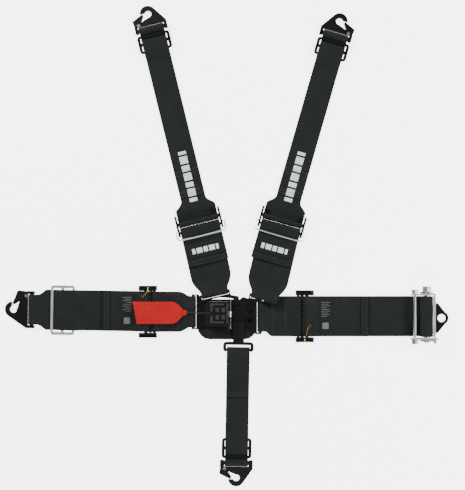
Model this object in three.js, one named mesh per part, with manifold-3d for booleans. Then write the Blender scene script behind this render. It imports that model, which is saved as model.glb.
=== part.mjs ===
// Racing harness laid flat, in millimetres: +Z up, +Y towards the shoulder ends, +X towards the ratchet.
// The origin is on the back face of the buckle pad, under the post that the tongues hang on.
// Each belt is drawn in its own group: s runs outwards along the belt, u across it, z up.
import * as THREE from "three";
import { mergeVertices } from "three/addons/utils/BufferGeometryUtils.js";
import Module from "manifold-3d";

const wasm = await Module();
wasm.setup();

// ---------- driving dimensions ----------
const clearance = 0.4; // between pieces that touch or turn past each other
const floorGap = 0.2; // webbing stands this far above the floor
const webbingThickness = 1.8;
const lapWidth = 76;
const shoulderWidth = 47.4;
const crotchWidth = 43.4;

const leftLap = {
  y: 2.6,
  barX: 88,
  adjusterS: 173.5,
  outerY: 3.2,
  outerTilt: 0.93,
  tailEnd: 81,
  slideEnd: 179,
  hookBase: 209,
};
const rightLap = { y: -5.9, barX: 38, adjusterS: 122, tailEnd: 115.5, spoolS: 224.5 };
const lapSlide = { width: lapWidth + 17.5, length: 45 };
const shoulders = [
  {
    side: "left",
    root: [-47.2, 36.8],
    rootZ: 9.6,
    adjuster: [-77.3, 171.6],
    hole: [-173.3, 562.4],
    gate: -1,
  },
  {
    side: "right",
    root: [45.3, 29.2],
    rootZ: 14.7,
    adjuster: [79, 171.6],
    hole: [187.3, 548.6],
    gate: 1,
  },
];
const shoulder = {
  slide: { width: shoulderWidth + 14.6, length: 33.6, gap: 3.5 },
  flareStart: 30,
  flareEnd: 45,
  tailEnd: -79,
  rootWidth: 51,
  taper: 36,
};
const crotch = {
  bar: [-3.2, -69],
  barZ: 5.6,
  tilt: 0.98,
  hookBase: 207,
  slide: { width: crotchWidth + 12.6, length: 38, gap: 3 },
  ringWidth: crotchWidth + 14.6,
  neckWidth: 21,
};

const hookPlate = {
  thickness: 4,
  halfWidth: 31,
  lapHalfWidth: 35,
  length: 50.5,
  lapLength: 57,
  lapWebbing: 56,
  noseRadius: 15,
  holeRadius: 6.5,
  holeBack: 1.5,
  barStart: 1.5,
  barWidth: 8,
  sideStraight: 16.5,
  noseGap: 0.3,
};
const keeper = {
  wall: 1,
  gap: 0.35,
  spine: 2,
  pivotV: 15.7,
  pivotInset: 9,
  rivet: 2.2,
  head: 3.4,
  headHeight: 1,
};

const pad = { thickness: 4, left: -80, right: 31.5, top: 26, bottom: -50, corner: 24 };
const latch = {
  thickness: 2.5,
  halfWidth: 25.5,
  endHalf: 33,
  endX: -91,
  endStraight: 13,
  endTaper: 6,
  right: 4,
  barWidth: 6,
  webbingWidth: 59,
  y: -1,
};
const lever = {
  left: -66,
  halfWidth: 24,
  wall: 2,
  pinX: -19,
  pinZ: 20.6,
  knuckle: 3.4,
  pin: 1.8,
  wallBottom: 11,
  earHalf: 4.6,
  springHalf: 5,
};
const link = {
  thickness: 2.2,
  neckHalf: 13,
  windowLeft: 11,
  windowRight: 24,
  windowHalf: 12,
  webbingWidth: 58,
};
const post = { x: -2, y: -1, length: 8, width: 12, slack: 0.8, eyeRadius: 12 };
const tongueThickness = 1.8;

const adjuster = {
  barRadius: 3.5,
  barTravel: 1,
  loopBarWidth: 5,
  loopBarHeight: 4,
  sliderAhead: 3.5,
  loopBehind: 12.5,
  earHeight: 13,
  earWall: 3.9,
  flangeHeight: 5,
  inside: lapWidth / 2 + 1.4,
  lapWidth: lapWidth + 22,
  shoulderWidth: lapWidth + 10.6,
  lapLength: 35,
  shoulderLength: 41,
};
const slideBar = { height: 3.5, outer: 4.5, middle: 5, rail: 5.5 };
const wireRadius = 1.5;
const springWire = 0.8;
const bail = { halfWidth: adjuster.inside + 7.2, pivotS: -8, pivotZ: 9, crossS: -25.5, crossZ: 11.8 };
const cord = { radius: 1, startX: -56, startZ: 23.4 };
const tab = { end: -198, start: -112, width: 42, thickness: 1.6 };
const ratchet = {
  axisZ: 14.5,
  roll: 12,
  shaft: 6,
  wall: 3,
  cheekInside: lapWidth / 2 + 2,
  cheekInner: -31,
  wallS: 12.6,
  height: 25.5,
  teeth: 12,
  wheelTip: 12.5,
  wheelRoot: 10,
  toothLean: 24,
  wheel: 3,
  rod: 3,
  rodS: -22,
  rodHead: 7,
  headLength: 7,
  nutLength: 8,
  hex: 8,
  hexLength: 10,
  eyeS: 29.7,
  eyeHole: 7.5,
  eyeNose: 13,
  tabHalf: 28,
  tabThickness: 3.2,
  flange: 12,
};

// ---------- sizes that follow ----------
const halfWeb = webbingThickness / 2;
const floorLayer = floorGap + halfWeb;
const topLayer = floorLayer + webbingThickness + clearance;
const wrapRadius = adjuster.barRadius + adjuster.barTravel + clearance + halfWeb;
const wrapOuter = wrapRadius + halfWeb;
const sliderZ = floorGap + wrapOuter;
const loopRadius = Math.hypot(adjuster.loopBarWidth, adjuster.loopBarHeight) / 2 + clearance + halfWeb;
const loopOuter = loopRadius + halfWeb;
const loopZ = floorGap + loopOuter;
const hookLoopRadius = Math.hypot(hookPlate.barWidth, hookPlate.thickness) / 2 + clearance + halfWeb;
const hookLoopOuter = hookLoopRadius + halfWeb;
const hookZ = floorGap + hookLoopOuter;
const hookBarV = hookPlate.barStart + hookPlate.barWidth / 2;
const latchBottom = pad.thickness + 0.3;
const latchTop = latchBottom + latch.thickness;
const latchBarZ = latchBottom + latch.thickness / 2;
const endLoopRadius = Math.hypot(latch.barWidth, latch.thickness) / 2 + clearance + halfWeb;
const endLoopOuter = endLoopRadius + halfWeb;
const linkBottom = latchTop + 0.3;
const linkTop = linkBottom + link.thickness;
const linkBarZ = linkBottom + link.thickness / 2;
const stackStep = tongueThickness + 0.3;
const crotchEyeZ = linkTop + 0.3 + tongueThickness / 2;
const shoulderEyeZ = { left: crotchEyeZ + stackStep, right: crotchEyeZ + 2 * stackStep };
const postTop = shoulderEyeZ.right + tongueThickness / 2;

// ---------- solids ----------
const group = new THREE.Group();
const materials = {
  webbing: { color: 0x1b1f21, roughness: 0.9, metalness: 0 },
  black: { color: 0x0c0d0e, roughness: 0.35, metalness: 0.6 },
  chrome: { color: 0xd8dadc, roughness: 0.12, metalness: 1 },
  zinc: { color: 0xc8bfa4, roughness: 0.3, metalness: 1 },
  red: { color: 0xc81e28, roughness: 0.8, metalness: 0 },
  pad: { color: 0x101214, roughness: 0.8, metalness: 0 },
};

function solid(geometry) {
  const bare = geometry.clone();
  bare.deleteAttribute("normal");
  if (bare.getAttribute("uv")) bare.deleteAttribute("uv");
  const merged = mergeVertices(bare, 1e-4);
  const vertProperties = merged.attributes.position.array;
  const triVerts = new Uint32Array(merged.index.array);
  const made = new wasm.Manifold(new wasm.Mesh({ numProp: 3, vertProperties, triVerts }));
  if (made.volume() > 0) return made;
  for (let i = 0; i < triVerts.length; i += 3) {
    [triVerts[i + 1], triVerts[i + 2]] = [triVerts[i + 2], triVerts[i + 1]];
  }
  return new wasm.Manifold(new wasm.Mesh({ numProp: 3, vertProperties, triVerts }));
}

function join(first, ...others) {
  return others.reduce((sum, piece) => sum.add(piece), first);
}

function cut(first, ...others) {
  return others.reduce((rest, piece) => rest.subtract(piece), first);
}

function addMesh(parent, name, made, material) {
  const mesh = made.getMesh();
  const vertices = new Float32Array(mesh.numVert * 3);
  for (let i = 0; i < mesh.numVert; i++) {
    vertices.set(mesh.vertProperties.subarray(i * mesh.numProp, i * mesh.numProp + 3), i * 3);
  }
  const geometry = new THREE.BufferGeometry();
  geometry.setAttribute("position", new THREE.BufferAttribute(vertices, 3));
  geometry.setIndex(new THREE.BufferAttribute(new Uint32Array(mesh.triVerts), 1));
  geometry.computeVertexNormals();
  const node = new THREE.Mesh(geometry, new THREE.MeshStandardMaterial(materials[material]));
  node.name = name;
  parent.add(node);
}

function toPoints(list) {
  return list.map(([x, y]) => new THREE.Vector2(x, y));
}

// A flat piece with this outline, from z = low to z = high.
function flat(outline, low, high) {
  const shape = new THREE.Shape(toPoints(outline));
  const geometry = new THREE.ExtrudeGeometry(shape, { depth: high - low, bevelEnabled: false });
  return solid(geometry.translate(0, 0, low));
}

// A side profile in (s, z), extruded across the belt from u = low to u = high.
function across(outline, low, high) {
  const shape = new THREE.Shape(toPoints(outline));
  const geometry = new THREE.ExtrudeGeometry(shape, { depth: high - low, bevelEnabled: false });
  return solid(geometry.rotateX(Math.PI / 2).translate(0, high, 0));
}

function box(low, high) {
  const size = high.map((value, i) => value - low[i]);
  const centre = high.map((value, i) => (value + low[i]) / 2);
  return solid(new THREE.BoxGeometry(...size).translate(...centre));
}

// A round bar along u.
function barAcross(radius, s, z, low, high, sides = 20) {
  const geometry = new THREE.CylinderGeometry(radius, radius, high - low, sides);
  return solid(geometry.translate(s, (low + high) / 2, z));
}

// A round bar along z.
function upright(radius, x, y, low, high, sides = 24) {
  const geometry = new THREE.CylinderGeometry(radius, radius, high - low, sides).rotateX(Math.PI / 2);
  return solid(geometry.translate(x, y, (low + high) / 2));
}

// Points on an arc, in degrees, both ends included.
function arc(x, y, radius, from, to, steps = 8) {
  return Array.from({ length: steps + 1 }, (_, i) => {
    const angle = THREE.MathUtils.degToRad(from + ((to - from) * i) / steps);
    return [x + radius * Math.cos(angle), y + radius * Math.sin(angle)];
  });
}

// A rectangle with rounded corners, as an outline.
function rounded(left, bottom, right, top, radius, steps = 4) {
  return [
    ...arc(right - radius, bottom + radius, radius, -90, 0, steps),
    ...arc(right - radius, top - radius, radius, 0, 90, steps),
    ...arc(left + radius, top - radius, radius, 90, 180, steps),
    ...arc(left + radius, bottom + radius, radius, 180, 270, steps),
  ];
}

// The outline of a band of even thickness along a line of points.
function band(line, thickness) {
  const points = toPoints(line);
  const left = [];
  const right = [];
  points.forEach((point, i) => {
    const before = points[Math.max(i - 1, 0)];
    const after = points[Math.min(i + 1, points.length - 1)];
    const into = (i ? point.clone().sub(before) : after.clone().sub(point)).normalize();
    const out = (i < points.length - 1 ? after.clone().sub(point) : into.clone()).normalize();
    const along = into.clone().add(out).normalize();
    const reach = thickness / 2 / Math.max(along.dot(into), 0.5);
    left.push([point.x - along.y * reach, point.y + along.x * reach]);
    right.push([point.x + along.y * reach, point.y - along.x * reach]);
  });
  return [...left, ...right.reverse()];
}

// Webbing of even width along a side line.
function webbing(line, width) {
  return across(band(line, webbingThickness), -width / 2, width / 2);
}

// The angle at which a line from a point touches a circle; side is 1 above, -1 below.
function touchAngle(from, centre, radius, side) {
  const s = from[0] - centre[0];
  const z = from[1] - centre[1];
  const turn = Math.acos(radius / Math.hypot(s, z));
  const angle = Math.atan2(z, s) + (s < 0 ? -side : side) * turn;
  return THREE.MathUtils.radToDeg(angle);
}

// The webbing's turn round a bar at the outer end, from a point on its upper layer to one on its lower.
function outerTurn(upper, centre, radius, lower, steps = 14) {
  const start = (touchAngle(upper, centre, radius, 1) + 360) % 360;
  const end = ((touchAngle(lower, centre, radius, -1) + 360) % 360) - 360;
  return [upper, ...arc(...centre, radius, start, end, steps), lower];
}

function wire(points, radius, sides = 8, steps = 40) {
  const curve = new THREE.CatmullRomCurve3(points.map((p) => new THREE.Vector3(...p)), false, "centripetal");
  const section = new THREE.Shape(toPoints(arc(0, 0, radius, 0, 360 - 360 / sides, sides - 1)));
  return solid(new THREE.ExtrudeGeometry(section, { steps, bevelEnabled: false, extrudePath: curve }));
}

function beltGroup(x, y, degrees) {
  const belt = new THREE.Group();
  belt.position.set(x, y, 0);
  belt.rotation.z = THREE.MathUtils.degToRad(degrees);
  group.add(belt);
  return belt;
}

// An unseen marker on a hinge or slide axis: its own z axis is the joint's axis.
function pivot(parent, name, position, axis) {
  const marker = new THREE.Object3D();
  marker.name = name;
  marker.position.set(...position);
  marker.quaternion.setFromUnitVectors(new THREE.Vector3(0, 0, 1), new THREE.Vector3(...axis).normalize());
  parent.add(marker);
}

const acrossBelt = [0, -1, 0]; // turning about this lifts the outer end of a belt

// ---------- webbing ----------
// Both layers of a belt from a hook's bar back through its slide; the main layer leaves along the floor.
function hookEnd(slideInner, slideOuter, hookS) {
  const under = topLayer + halfWeb + clearance;
  const over = under + slideBar.height + clearance + halfWeb;
  const middle = (slideInner + slideOuter) / 2;
  return [
    [slideInner - 16, floorLayer],
    [slideInner - 2, over],
    [middle + slideBar.middle / 2 + 1.1, over],
    [slideOuter - slideBar.outer - 1.1, topLayer],
    ...outerTurn([slideOuter + 0.5, topLayer], [hookS, hookZ], hookLoopRadius, [slideOuter - 6, floorLayer]),
    [slideInner - 6, floorLayer],
  ];
}

// A strap with an eye at each end: one round an inner bar, one round an adjuster's bar.
function doubleEye(innerS, innerZ, outerS, spread) {
  const middle = (innerS + outerS) / 2;
  const inner = [innerS, innerZ];
  const upper = [innerS + spread, topLayer];
  const lower = [innerS + spread * 0.6, floorLayer];
  const start = touchAngle(upper, inner, endLoopRadius, 1);
  const end = touchAngle(lower, inner, endLoopRadius, -1) + 360;
  const outer = outerTurn([outerS - 14, topLayer], [outerS, loopZ], loopRadius, [outerS - 8, floorLayer]);
  return [
    [middle + 1, floorLayer],
    ...outer.reverse(),
    upper,
    ...arc(...inner, endLoopRadius, start, end, 14),
    lower,
    [middle - 1, floorLayer],
  ];
}

// A plan outline that widens from one width to another over a stretch of the belt.
function widening(from, narrow, start, end, wide, to) {
  return [
    [from, -narrow / 2],
    [start, -narrow / 2],
    ...[0.25, 0.5, 0.75].map((t) => {
      const share = Math.sin((t * Math.PI) / 2);
      return [start + (end - start) * t, -(narrow + (wide - narrow) * share) / 2];
    }),
    [end, -wide / 2],
    [to, -wide / 2],
    [to, wide / 2],
    [end, wide / 2],
    ...[0.75, 0.5, 0.25].map((t) => {
      const share = Math.sin((t * Math.PI) / 2);
      return [start + (end - start) * t, (narrow + (wide - narrow) * share) / 2];
    }),
    [start, narrow / 2],
    [from, narrow / 2],
  ];
}

function trimmed(strap, plan) {
  return strap.intersect(flat(plan, -5, 60));
}

// Turns a strap's end slightly, so that its eye lies square on a bar set at an angle to the belt.
function squared(strap, skew, shareAt) {
  return strap.warp((point) => {
    const share = Math.min(Math.max(shareAt(point[0]), 0), 1);
    point[0] += point[1] * skew * share;
  });
}

// ---------- hardware on the belts ----------
function slideFrame(inner, outer, width) {
  const low = topLayer + halfWeb + clearance;
  const middle = (inner + outer) / 2;
  const half = width / 2;
  const reach = half - slideBar.rail;
  const window = (from, to) => flat(rounded(from, -reach, to, reach, 1.5, 2), 0, 20);
  return cut(
    flat(rounded(inner, -half, outer, half, 5, 3), low, low + slideBar.height),
    window(inner + slideBar.outer, middle - slideBar.middle / 2),
    window(middle + slideBar.middle / 2, outer - slideBar.outer),
  );
}

// Plate, keeper and rivet of a clip-in hook whose base is at s = base; gate 1 puts the gate on -u.
function addHook(belt, name, base, halfWidth, length, webbingWidth, gate) {
  const half = hookPlate.thickness / 2;
  const reach = length - hookBarV;
  const tilt = Math.asin((hookZ - half - hookPlate.noseGap) / reach);
  const holder = new THREE.Group();
  holder.position.set(base + hookBarV, 0, hookZ);
  holder.rotation.y = tilt;
  belt.add(holder);
  const place = (points) => points.map(([v, u]) => [v - hookBarV, u * gate]);
  const nose = length - hookPlate.noseRadius;
  const slotHalf = webbingWidth / 2 + 1.3;
  const slotEnd = hookBarV + hookLoopOuter + clearance;
  const corner = [hookPlate.sideStraight - nose, halfWidth];
  const tangent =
    Math.atan2(corner[1], corner[0]) - Math.acos(hookPlate.noseRadius / Math.hypot(...corner));
  const body = [
    [0, -halfWidth],
    [0, halfWidth],
    [hookPlate.sideStraight, halfWidth],
    [nose + hookPlate.noseRadius * Math.cos(tangent), hookPlate.noseRadius * Math.sin(tangent)],
    [nose, 0],
    [nose - 9.5, -4],
    [nose - 17.5, -halfWidth + 5],
    [14, -halfWidth],
  ];
  const hole = [nose - hookPlate.holeBack, 0];
  const mouth = [
    [nose + 1.4, -1],
    [nose + 1.4, -20],
    [nose - 14, -20],
    [nose - 9.5, -4],
    [nose - 7.9, -1],
  ];
  const pivotAt = [keeper.pivotV, -(halfWidth - keeper.pivotInset)];
  const thick = (points) => flat(place(points), -half, half);
  const through = (points) => flat(place(points), -10, 10);
  const plate = cut(
    join(thick(body), thick(arc(nose, 0, hookPlate.noseRadius, 0, 350, 35))),
    through(arc(...hole, hookPlate.holeRadius, 0, 345, 23)),
    through(mouth),
    through([
      [hookPlate.barStart + hookPlate.barWidth, -slotHalf],
      [hookPlate.barStart + hookPlate.barWidth, slotHalf],
      [slotEnd, slotHalf],
      [slotEnd, -slotHalf],
    ]),
    through([
      [-1, -slotHalf],
      [-1, slotHalf],
      [hookPlate.barStart, slotHalf],
      [hookPlate.barStart, -slotHalf],
    ]),
    through(arc(...pivotAt, keeper.rivet + 0.3, 0, 330, 11)),
  );
  addMesh(holder, name + "_hook", plate, "black");

  const outer = half + keeper.gap + keeper.wall;
  const gateCorner = [nose - 9.5, -(halfWidth + 1)];
  const gateTip = [nose, -12];
  const run = Math.hypot(gateTip[0] - gateCorner[0], gateTip[1] - gateCorner[1]);
  const along = [(gateTip[0] - gateCorner[0]) / run, (gateTip[1] - gateCorner[1]) / run];
  const inward = [-along[1], along[0]];
  const offset = (point, forward, deep) => [
    point[0] + along[0] * forward + inward[0] * deep,
    point[1] + along[1] * forward + inward[1] * deep,
  ];
  const cheeks = flat(
    place([
      [12.8, -(halfWidth - 1)],
      gateCorner,
      gateTip,
      [nose - 2, -8.8],
      [19, pivotAt[1] + 4.5],
      [15, pivotAt[1] + 4],
    ]),
    -outer,
    outer,
  );
  const inside = flat(
    place([
      offset(gateCorner, -40, keeper.spine),
      offset(gateTip, 40, keeper.spine),
      offset(gateTip, 40, 70),
      offset(gateCorner, -40, 70),
    ]),
    -half - keeper.gap,
    half + keeper.gap,
  );
  const channel = cut(cheeks, inside, through(arc(...pivotAt, keeper.rivet + 0.3, 0, 330, 11)));
  addMesh(holder, name + "_keeper", channel, "black");

  const [rivetS, rivetU] = place([pivotAt])[0];
  const rivet = join(
    upright(keeper.rivet, rivetS, rivetU, -outer - 0.3, outer + 0.3, 12),
    upright(keeper.head, rivetS, rivetU, outer + 0.3, outer + 0.3 + keeper.headHeight, 12),
    upright(keeper.head, rivetS, rivetU, -outer - 0.3 - keeper.headHeight, -outer - 0.3, 12),
  );
  addMesh(holder, name + "_keeper_rivet", rivet, "zinc");
  pivot(belt, name + "_hook_swivel", [base + hookBarV, 0, hookZ], acrossBelt);
  pivot(holder, name + "_keeper_swing", [rivetS, rivetU, 0], [0, 0, gate]);
  pivot(holder, name + "_hook_face", [nose - hookBarV - 2, 10.5 * gate, -half], [0, 0, -1]);
  pivot(holder, name + "_hole", [hole[0] - hookBarV, 0, 0], [0, 0, 1]);
}

// Frame and bar of a webbing adjuster centred on s = centre.
function addAdjuster(belt, name, centre, width, length) {
  const slider = centre + adjuster.sliderAhead;
  const loopBar = centre - adjuster.loopBehind;
  const outside = width / 2;
  const wallOutside = Math.min(adjuster.inside + adjuster.earWall, outside);
  const ears = [1, -1].map((side) => {
    const [near, far] = [side * adjuster.inside, side * wallOutside].sort((a, b) => a - b);
    const [low, high] = [side * adjuster.inside, side * outside].sort((a, b) => a - b);
    const profile = rounded(centre - length / 2, 1, centre + length / 2, adjuster.earHeight, 5, 3);
    const base = rounded(centre - length / 2, 1, centre + length / 2, adjuster.flangeHeight, 1.9, 2);
    return join(across(profile, near, far), across(base, low, high));
  });
  const crossBar = box(
    [loopBar - adjuster.loopBarWidth / 2, -adjuster.inside - 1, loopZ - adjuster.loopBarHeight / 2],
    [loopBar + adjuster.loopBarWidth / 2, adjuster.inside + 1, loopZ + adjuster.loopBarHeight / 2],
  );
  const slot = adjuster.barRadius + 0.3;
  const race = box(
    [slider - slot - adjuster.barTravel, -outside - 1, sliderZ - slot],
    [slider + slot + adjuster.barTravel, outside + 1, sliderZ + slot],
  );
  const middle = box(
    [slider - 20, -adjuster.inside + 0.01, -1],
    [slider + 20, adjuster.inside - 0.01, 30],
  );
  const frame = cut(join(ears[0], ears[1], crossBar), race.subtract(middle));
  const barEnd = wallOutside - 0.4;
  const bar = barAcross(adjuster.barRadius, slider, sliderZ, -barEnd, barEnd);
  addMesh(belt, name + "_adjuster_bar", bar, "black");
  pivot(belt, name + "_bar_slide", [slider, 0, sliderZ], [1, 0, 0]);
  return { frame, slider, loopBar };
}

// A small wire spring that runs from the ear over the bar's webbing.
function addBarSpring(belt, name, slider, side, reach) {
  const high = sliderZ + wrapOuter + springWire + 0.3;
  const points = [
    [slider - 4, side * (adjuster.inside + 6), adjuster.flangeHeight + springWire + 0.2],
    [slider - 4, side * (adjuster.inside + 5.5), high - 2],
    [slider - 2, side * (adjuster.inside - 3), high + 0.6],
    [slider + 3, side * (reach + 4), high],
    [slider + 6, side * reach, high - 0.2],
    [slider + 8, side * (reach + 5), high - 0.4],
  ];
  addMesh(belt, name + "_bar_spring", wire(points, springWire, 6, 24), "zinc");
}

// ---------- buckle ----------
function addBuckle() {
  const padOutline = [
    ...arc(pad.right - pad.corner, pad.bottom + pad.corner, pad.corner, -80, 0, 6),
    ...arc(pad.right - 8, pad.top - 8, 8, 0, 90, 4),
    ...arc(pad.left + 8, pad.top - 8, 8, 90, 180, 4),
    ...arc(pad.left + pad.corner, pad.bottom + pad.corner, pad.corner, 180, 260, 6),
  ];
  addMesh(group, "buckle_pad", flat(padOutline, 0, pad.thickness), "pad");

  const [width, end, y] = [latch.halfWidth, latch.endHalf, latch.y];
  const slotHalf = latch.webbingWidth / 2 + 1;
  const slotY = leftLap.y;
  const barLeft = -leftLap.barX - latch.barWidth / 2;
  const slotRight = -leftLap.barX + endLoopOuter + clearance;
  const plate = flat(
    [
      [latch.endX, slotY - end],
      [latch.endX + latch.endStraight, slotY - end],
      [latch.endX + latch.endStraight + latch.endTaper, y - width],
      [latch.right, y - width],
      [latch.right, y + width],
      [latch.endX + latch.endStraight + latch.endTaper, y + width],
      [latch.endX + latch.endStraight, slotY + end],
      [latch.endX, slotY + end],
    ],
    latchBottom,
    latchTop,
  );
  const slot = box([barLeft + latch.barWidth, slotY - slotHalf, 0], [slotRight, slotY + slotHalf, 20]);
  const ears = [1, -1].map((side) => {
    const faces = [y + side * (lever.halfWidth + clearance), y + side * (lever.halfWidth + 3.4)];
    const [near, far] = faces.sort((a, b) => a - b);
    const outline = [
      [lever.pinX - lever.earHalf - 1, latchTop - 1],
      [lever.pinX + lever.earHalf, latchTop - 1],
      ...arc(lever.pinX, lever.pinZ, lever.earHalf, 0, 180, 8),
    ];
    return across(outline, near, far);
  });
  const reach = lever.halfWidth + 4;
  const foot = box(
    [lever.pinX - lever.earHalf - 1, y - reach + 0.6, latchBottom],
    [lever.pinX + lever.earHalf, y + reach - 0.6, latchTop],
  );
  const pinHole = barAcross(lever.pin + 0.3, lever.pinX, lever.pinZ, y - 40, y + 40, 16);
  const base = cut(join(plate, foot, ...ears), slot, pinHole);
  addMesh(group, "latch_base", base, "black");
  addMesh(
    group,
    "latch_lever_pin",
    barAcross(lever.pin, lever.pinX, lever.pinZ, y - reach, y + reach, 16),
    "zinc",
  );

  const top = lever.pinZ + 1.4;
  const half = lever.halfWidth - clearance;
  const cover = [
    [lever.pinX, y - half],
    [lever.pinX, y + half],
    [lever.left + 5, y + half],
    [lever.left, y + half - 5],
    [lever.left, y - half + 5],
    [lever.left + 5, y - half],
  ];
  const hollow = [
    [lever.pinX - lever.knuckle - 1, y - half + lever.wall],
    [lever.pinX - lever.knuckle - 1, y + half - lever.wall],
    [lever.left + 5 + lever.wall / 2, y + half - lever.wall],
    [lever.left + lever.wall, y + half - 5 - lever.wall / 2],
    [lever.left + lever.wall, y - half + 5 + lever.wall / 2],
    [lever.left + 5 + lever.wall / 2, y - half + lever.wall],
  ];
  const shell = cut(
    flat(cover, lever.wallBottom, top),
    flat(hollow, 0, top - lever.wall),
    box([lever.pinX - lever.knuckle - 2, y - 40, 0], [lever.pinX + 1, y + 40, lever.pinZ - lever.knuckle]),
  );
  const knuckle = barAcross(lever.knuckle, lever.pinX, lever.pinZ, y - half, y + half);
  const springRoom = box(
    [lever.pinX - lever.knuckle - 0.6, y - lever.springHalf - 0.4, 0],
    [lever.pinX + 10, y + lever.springHalf + 0.4, 40],
  );
  addMesh(group, "latch_lever", cut(join(shell, knuckle), pinHole, springRoom), "black");
  const coil = cut(
    barAcross(lever.knuckle - 0.3, lever.pinX, lever.pinZ, y - lever.springHalf, y + lever.springHalf),
    pinHole,
  );
  addMesh(group, "latch_spring", coil, "zinc");
  pivot(group, "latch_lever_hinge", [lever.pinX, y, lever.pinZ], [0, 1, 0]);
}

function addLink() {
  const slotY = rightLap.y;
  const half = link.webbingWidth / 2 + 1;
  const outer = half + 3.6;
  const barRight = rightLap.barX + latch.barWidth / 2;
  const slotLeft = rightLap.barX - endLoopOuter - clearance;
  const plate = flat(
    [
      [-18, -link.neckHalf],
      [6, -link.neckHalf - 1],
      [29, slotY - outer],
      [barRight, slotY - outer],
      [barRight, slotY + outer],
      [29, slotY + outer],
      [6, link.neckHalf],
      [-13.5, link.neckHalf - 1],
    ],
    linkBottom,
    linkTop,
  );
  const slot = box([slotLeft, slotY - half, 0], [rightLap.barX - latch.barWidth / 2, slotY + half, 20]);
  const window = box(
    [link.windowLeft, slotY - link.windowHalf, 0],
    [link.windowRight, slotY + link.windowHalf, 20],
  );
  const upright = box(
    [post.x - post.length / 2, post.y - post.width / 2, linkTop - 0.5],
    [post.x + post.length / 2, post.y + post.width / 2, postTop],
  );
  addMesh(group, "link_plate", join(cut(plate, slot, window), upright), "black");
}

// Rectangle round the post, cut through each tongue's eye.
function postHole() {
  const [halfX, halfY] = [post.length / 2 + post.slack, post.width / 2 + post.slack];
  return box([post.x - halfX, post.y - halfY, 0], [post.x + halfX, post.y + halfY, 40]);
}

// A shoulder tongue: a bar in a frame at the belt's root, and a neck down to the eye on the post.
function addShoulderTongue(spec, turn) {
  const [rootX, rootY] = spec.root;
  const along = [Math.cos(turn), Math.sin(turn)];
  const at = (s, u) => [rootX + along[0] * s - along[1] * u, rootY + along[1] * s + along[0] * u];
  const arm = shoulder.rootWidth / 2 + 0.7;
  const half = arm + 2.6;
  const barHalf = latch.barWidth / 2;
  const slotEdge = -endLoopOuter - clearance;
  const frameEdge = slotEdge - 3;
  const eyeZ = shoulderEyeZ[spec.side];
  const neck =
    spec.side === "left"
      ? [[-13, 8], [-2, 8], [-2, 32], at(frameEdge + 1, -27), at(frameEdge + 1, -6), [-13, 27.6]]
      : [[-1, 8], [10, 8], [10, 17], at(frameEdge + 1, 6), at(frameEdge + 1, 27), [5, 31], [-1, 26]];
  const [low, high] = [0, 30];
  const rectangle = (from, to, width) =>
    flat([at(from, -width), at(to, -width), at(to, width), at(from, width)], low, high);
  const eye = flat(arc(post.x, post.y, post.eyeRadius, 0, 345, 23), low, high);
  const plan = join(rectangle(frameEdge, barHalf, half), flat(neck, low, high), eye);
  const profile = band(
    [
      [-90, eyeZ],
      [-34, eyeZ],
      [-15, spec.rootZ],
      [20, spec.rootZ],
    ],
    tongueThickness,
  );
  const sheet = across(profile, -100, 100)
    .rotate([0, 0, THREE.MathUtils.radToDeg(turn)])
    .translate([rootX, rootY, 0]);
  const tongue = cut(
    plan.intersect(sheet),
    rectangle(slotEdge, -barHalf, arm),
    postHole(),
  );
  addMesh(group, `shoulder_${spec.side}_tongue`, tongue, "black");
}

function addCrotchTongue(belt, turn) {
  const eyeU = 0;
  const eyeS = -Math.hypot(post.x - crotch.bar[0], post.y - crotch.bar[1]);
  const half = crotch.ringWidth / 2;
  const arm = crotchWidth / 2 + 1;
  const [low, high] = [0, 30];
  const plan = join(
    flat(rounded(-15, -half, 4.6, half, 7, 4), low, high),
    flat(rounded(eyeS, -crotch.neckWidth / 2, -8, crotch.neckWidth / 2, 1, 1), low, high),
    flat(arc(eyeS, eyeU, post.eyeRadius, 0, 345, 23), low, high),
  );
  const profile = band(
    [
      [-90, crotchEyeZ],
      [-51, crotchEyeZ],
      [-22, crotch.barZ],
      [20, crotch.barZ],
    ],
    tongueThickness,
  );
  const tongue = cut(
    plan.intersect(across(profile, -60, 60)),
    box([-9, -arm, low], [-2.5, arm, high]),
    box([2.5, -arm, low], [9, arm, high]),
    postHole().translate([-crotch.bar[0], -crotch.bar[1], 0]).rotate([0, 0, -THREE.MathUtils.radToDeg(turn)]),
  );
  addMesh(belt, "crotch_tongue", tongue, "black");
}

// ---------- lap belts ----------
function lapWebbing(line) {
  return webbing(line, lapWidth);
}

// The webbing from its tail, round the adjuster's bar at s = 0, and back out along the floor.
function barTurn(tailEnd) {
  const upper = [23, topLayer];
  const lower = [13, floorLayer];
  const start = touchAngle(upper, [0, sliderZ], wrapRadius, 1);
  const end = touchAngle(lower, [0, sliderZ], wrapRadius, -1) + 360;
  return [[tailEnd, topLayer], upper, ...arc(0, sliderZ, wrapRadius, start, end, 14), lower];
}

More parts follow.
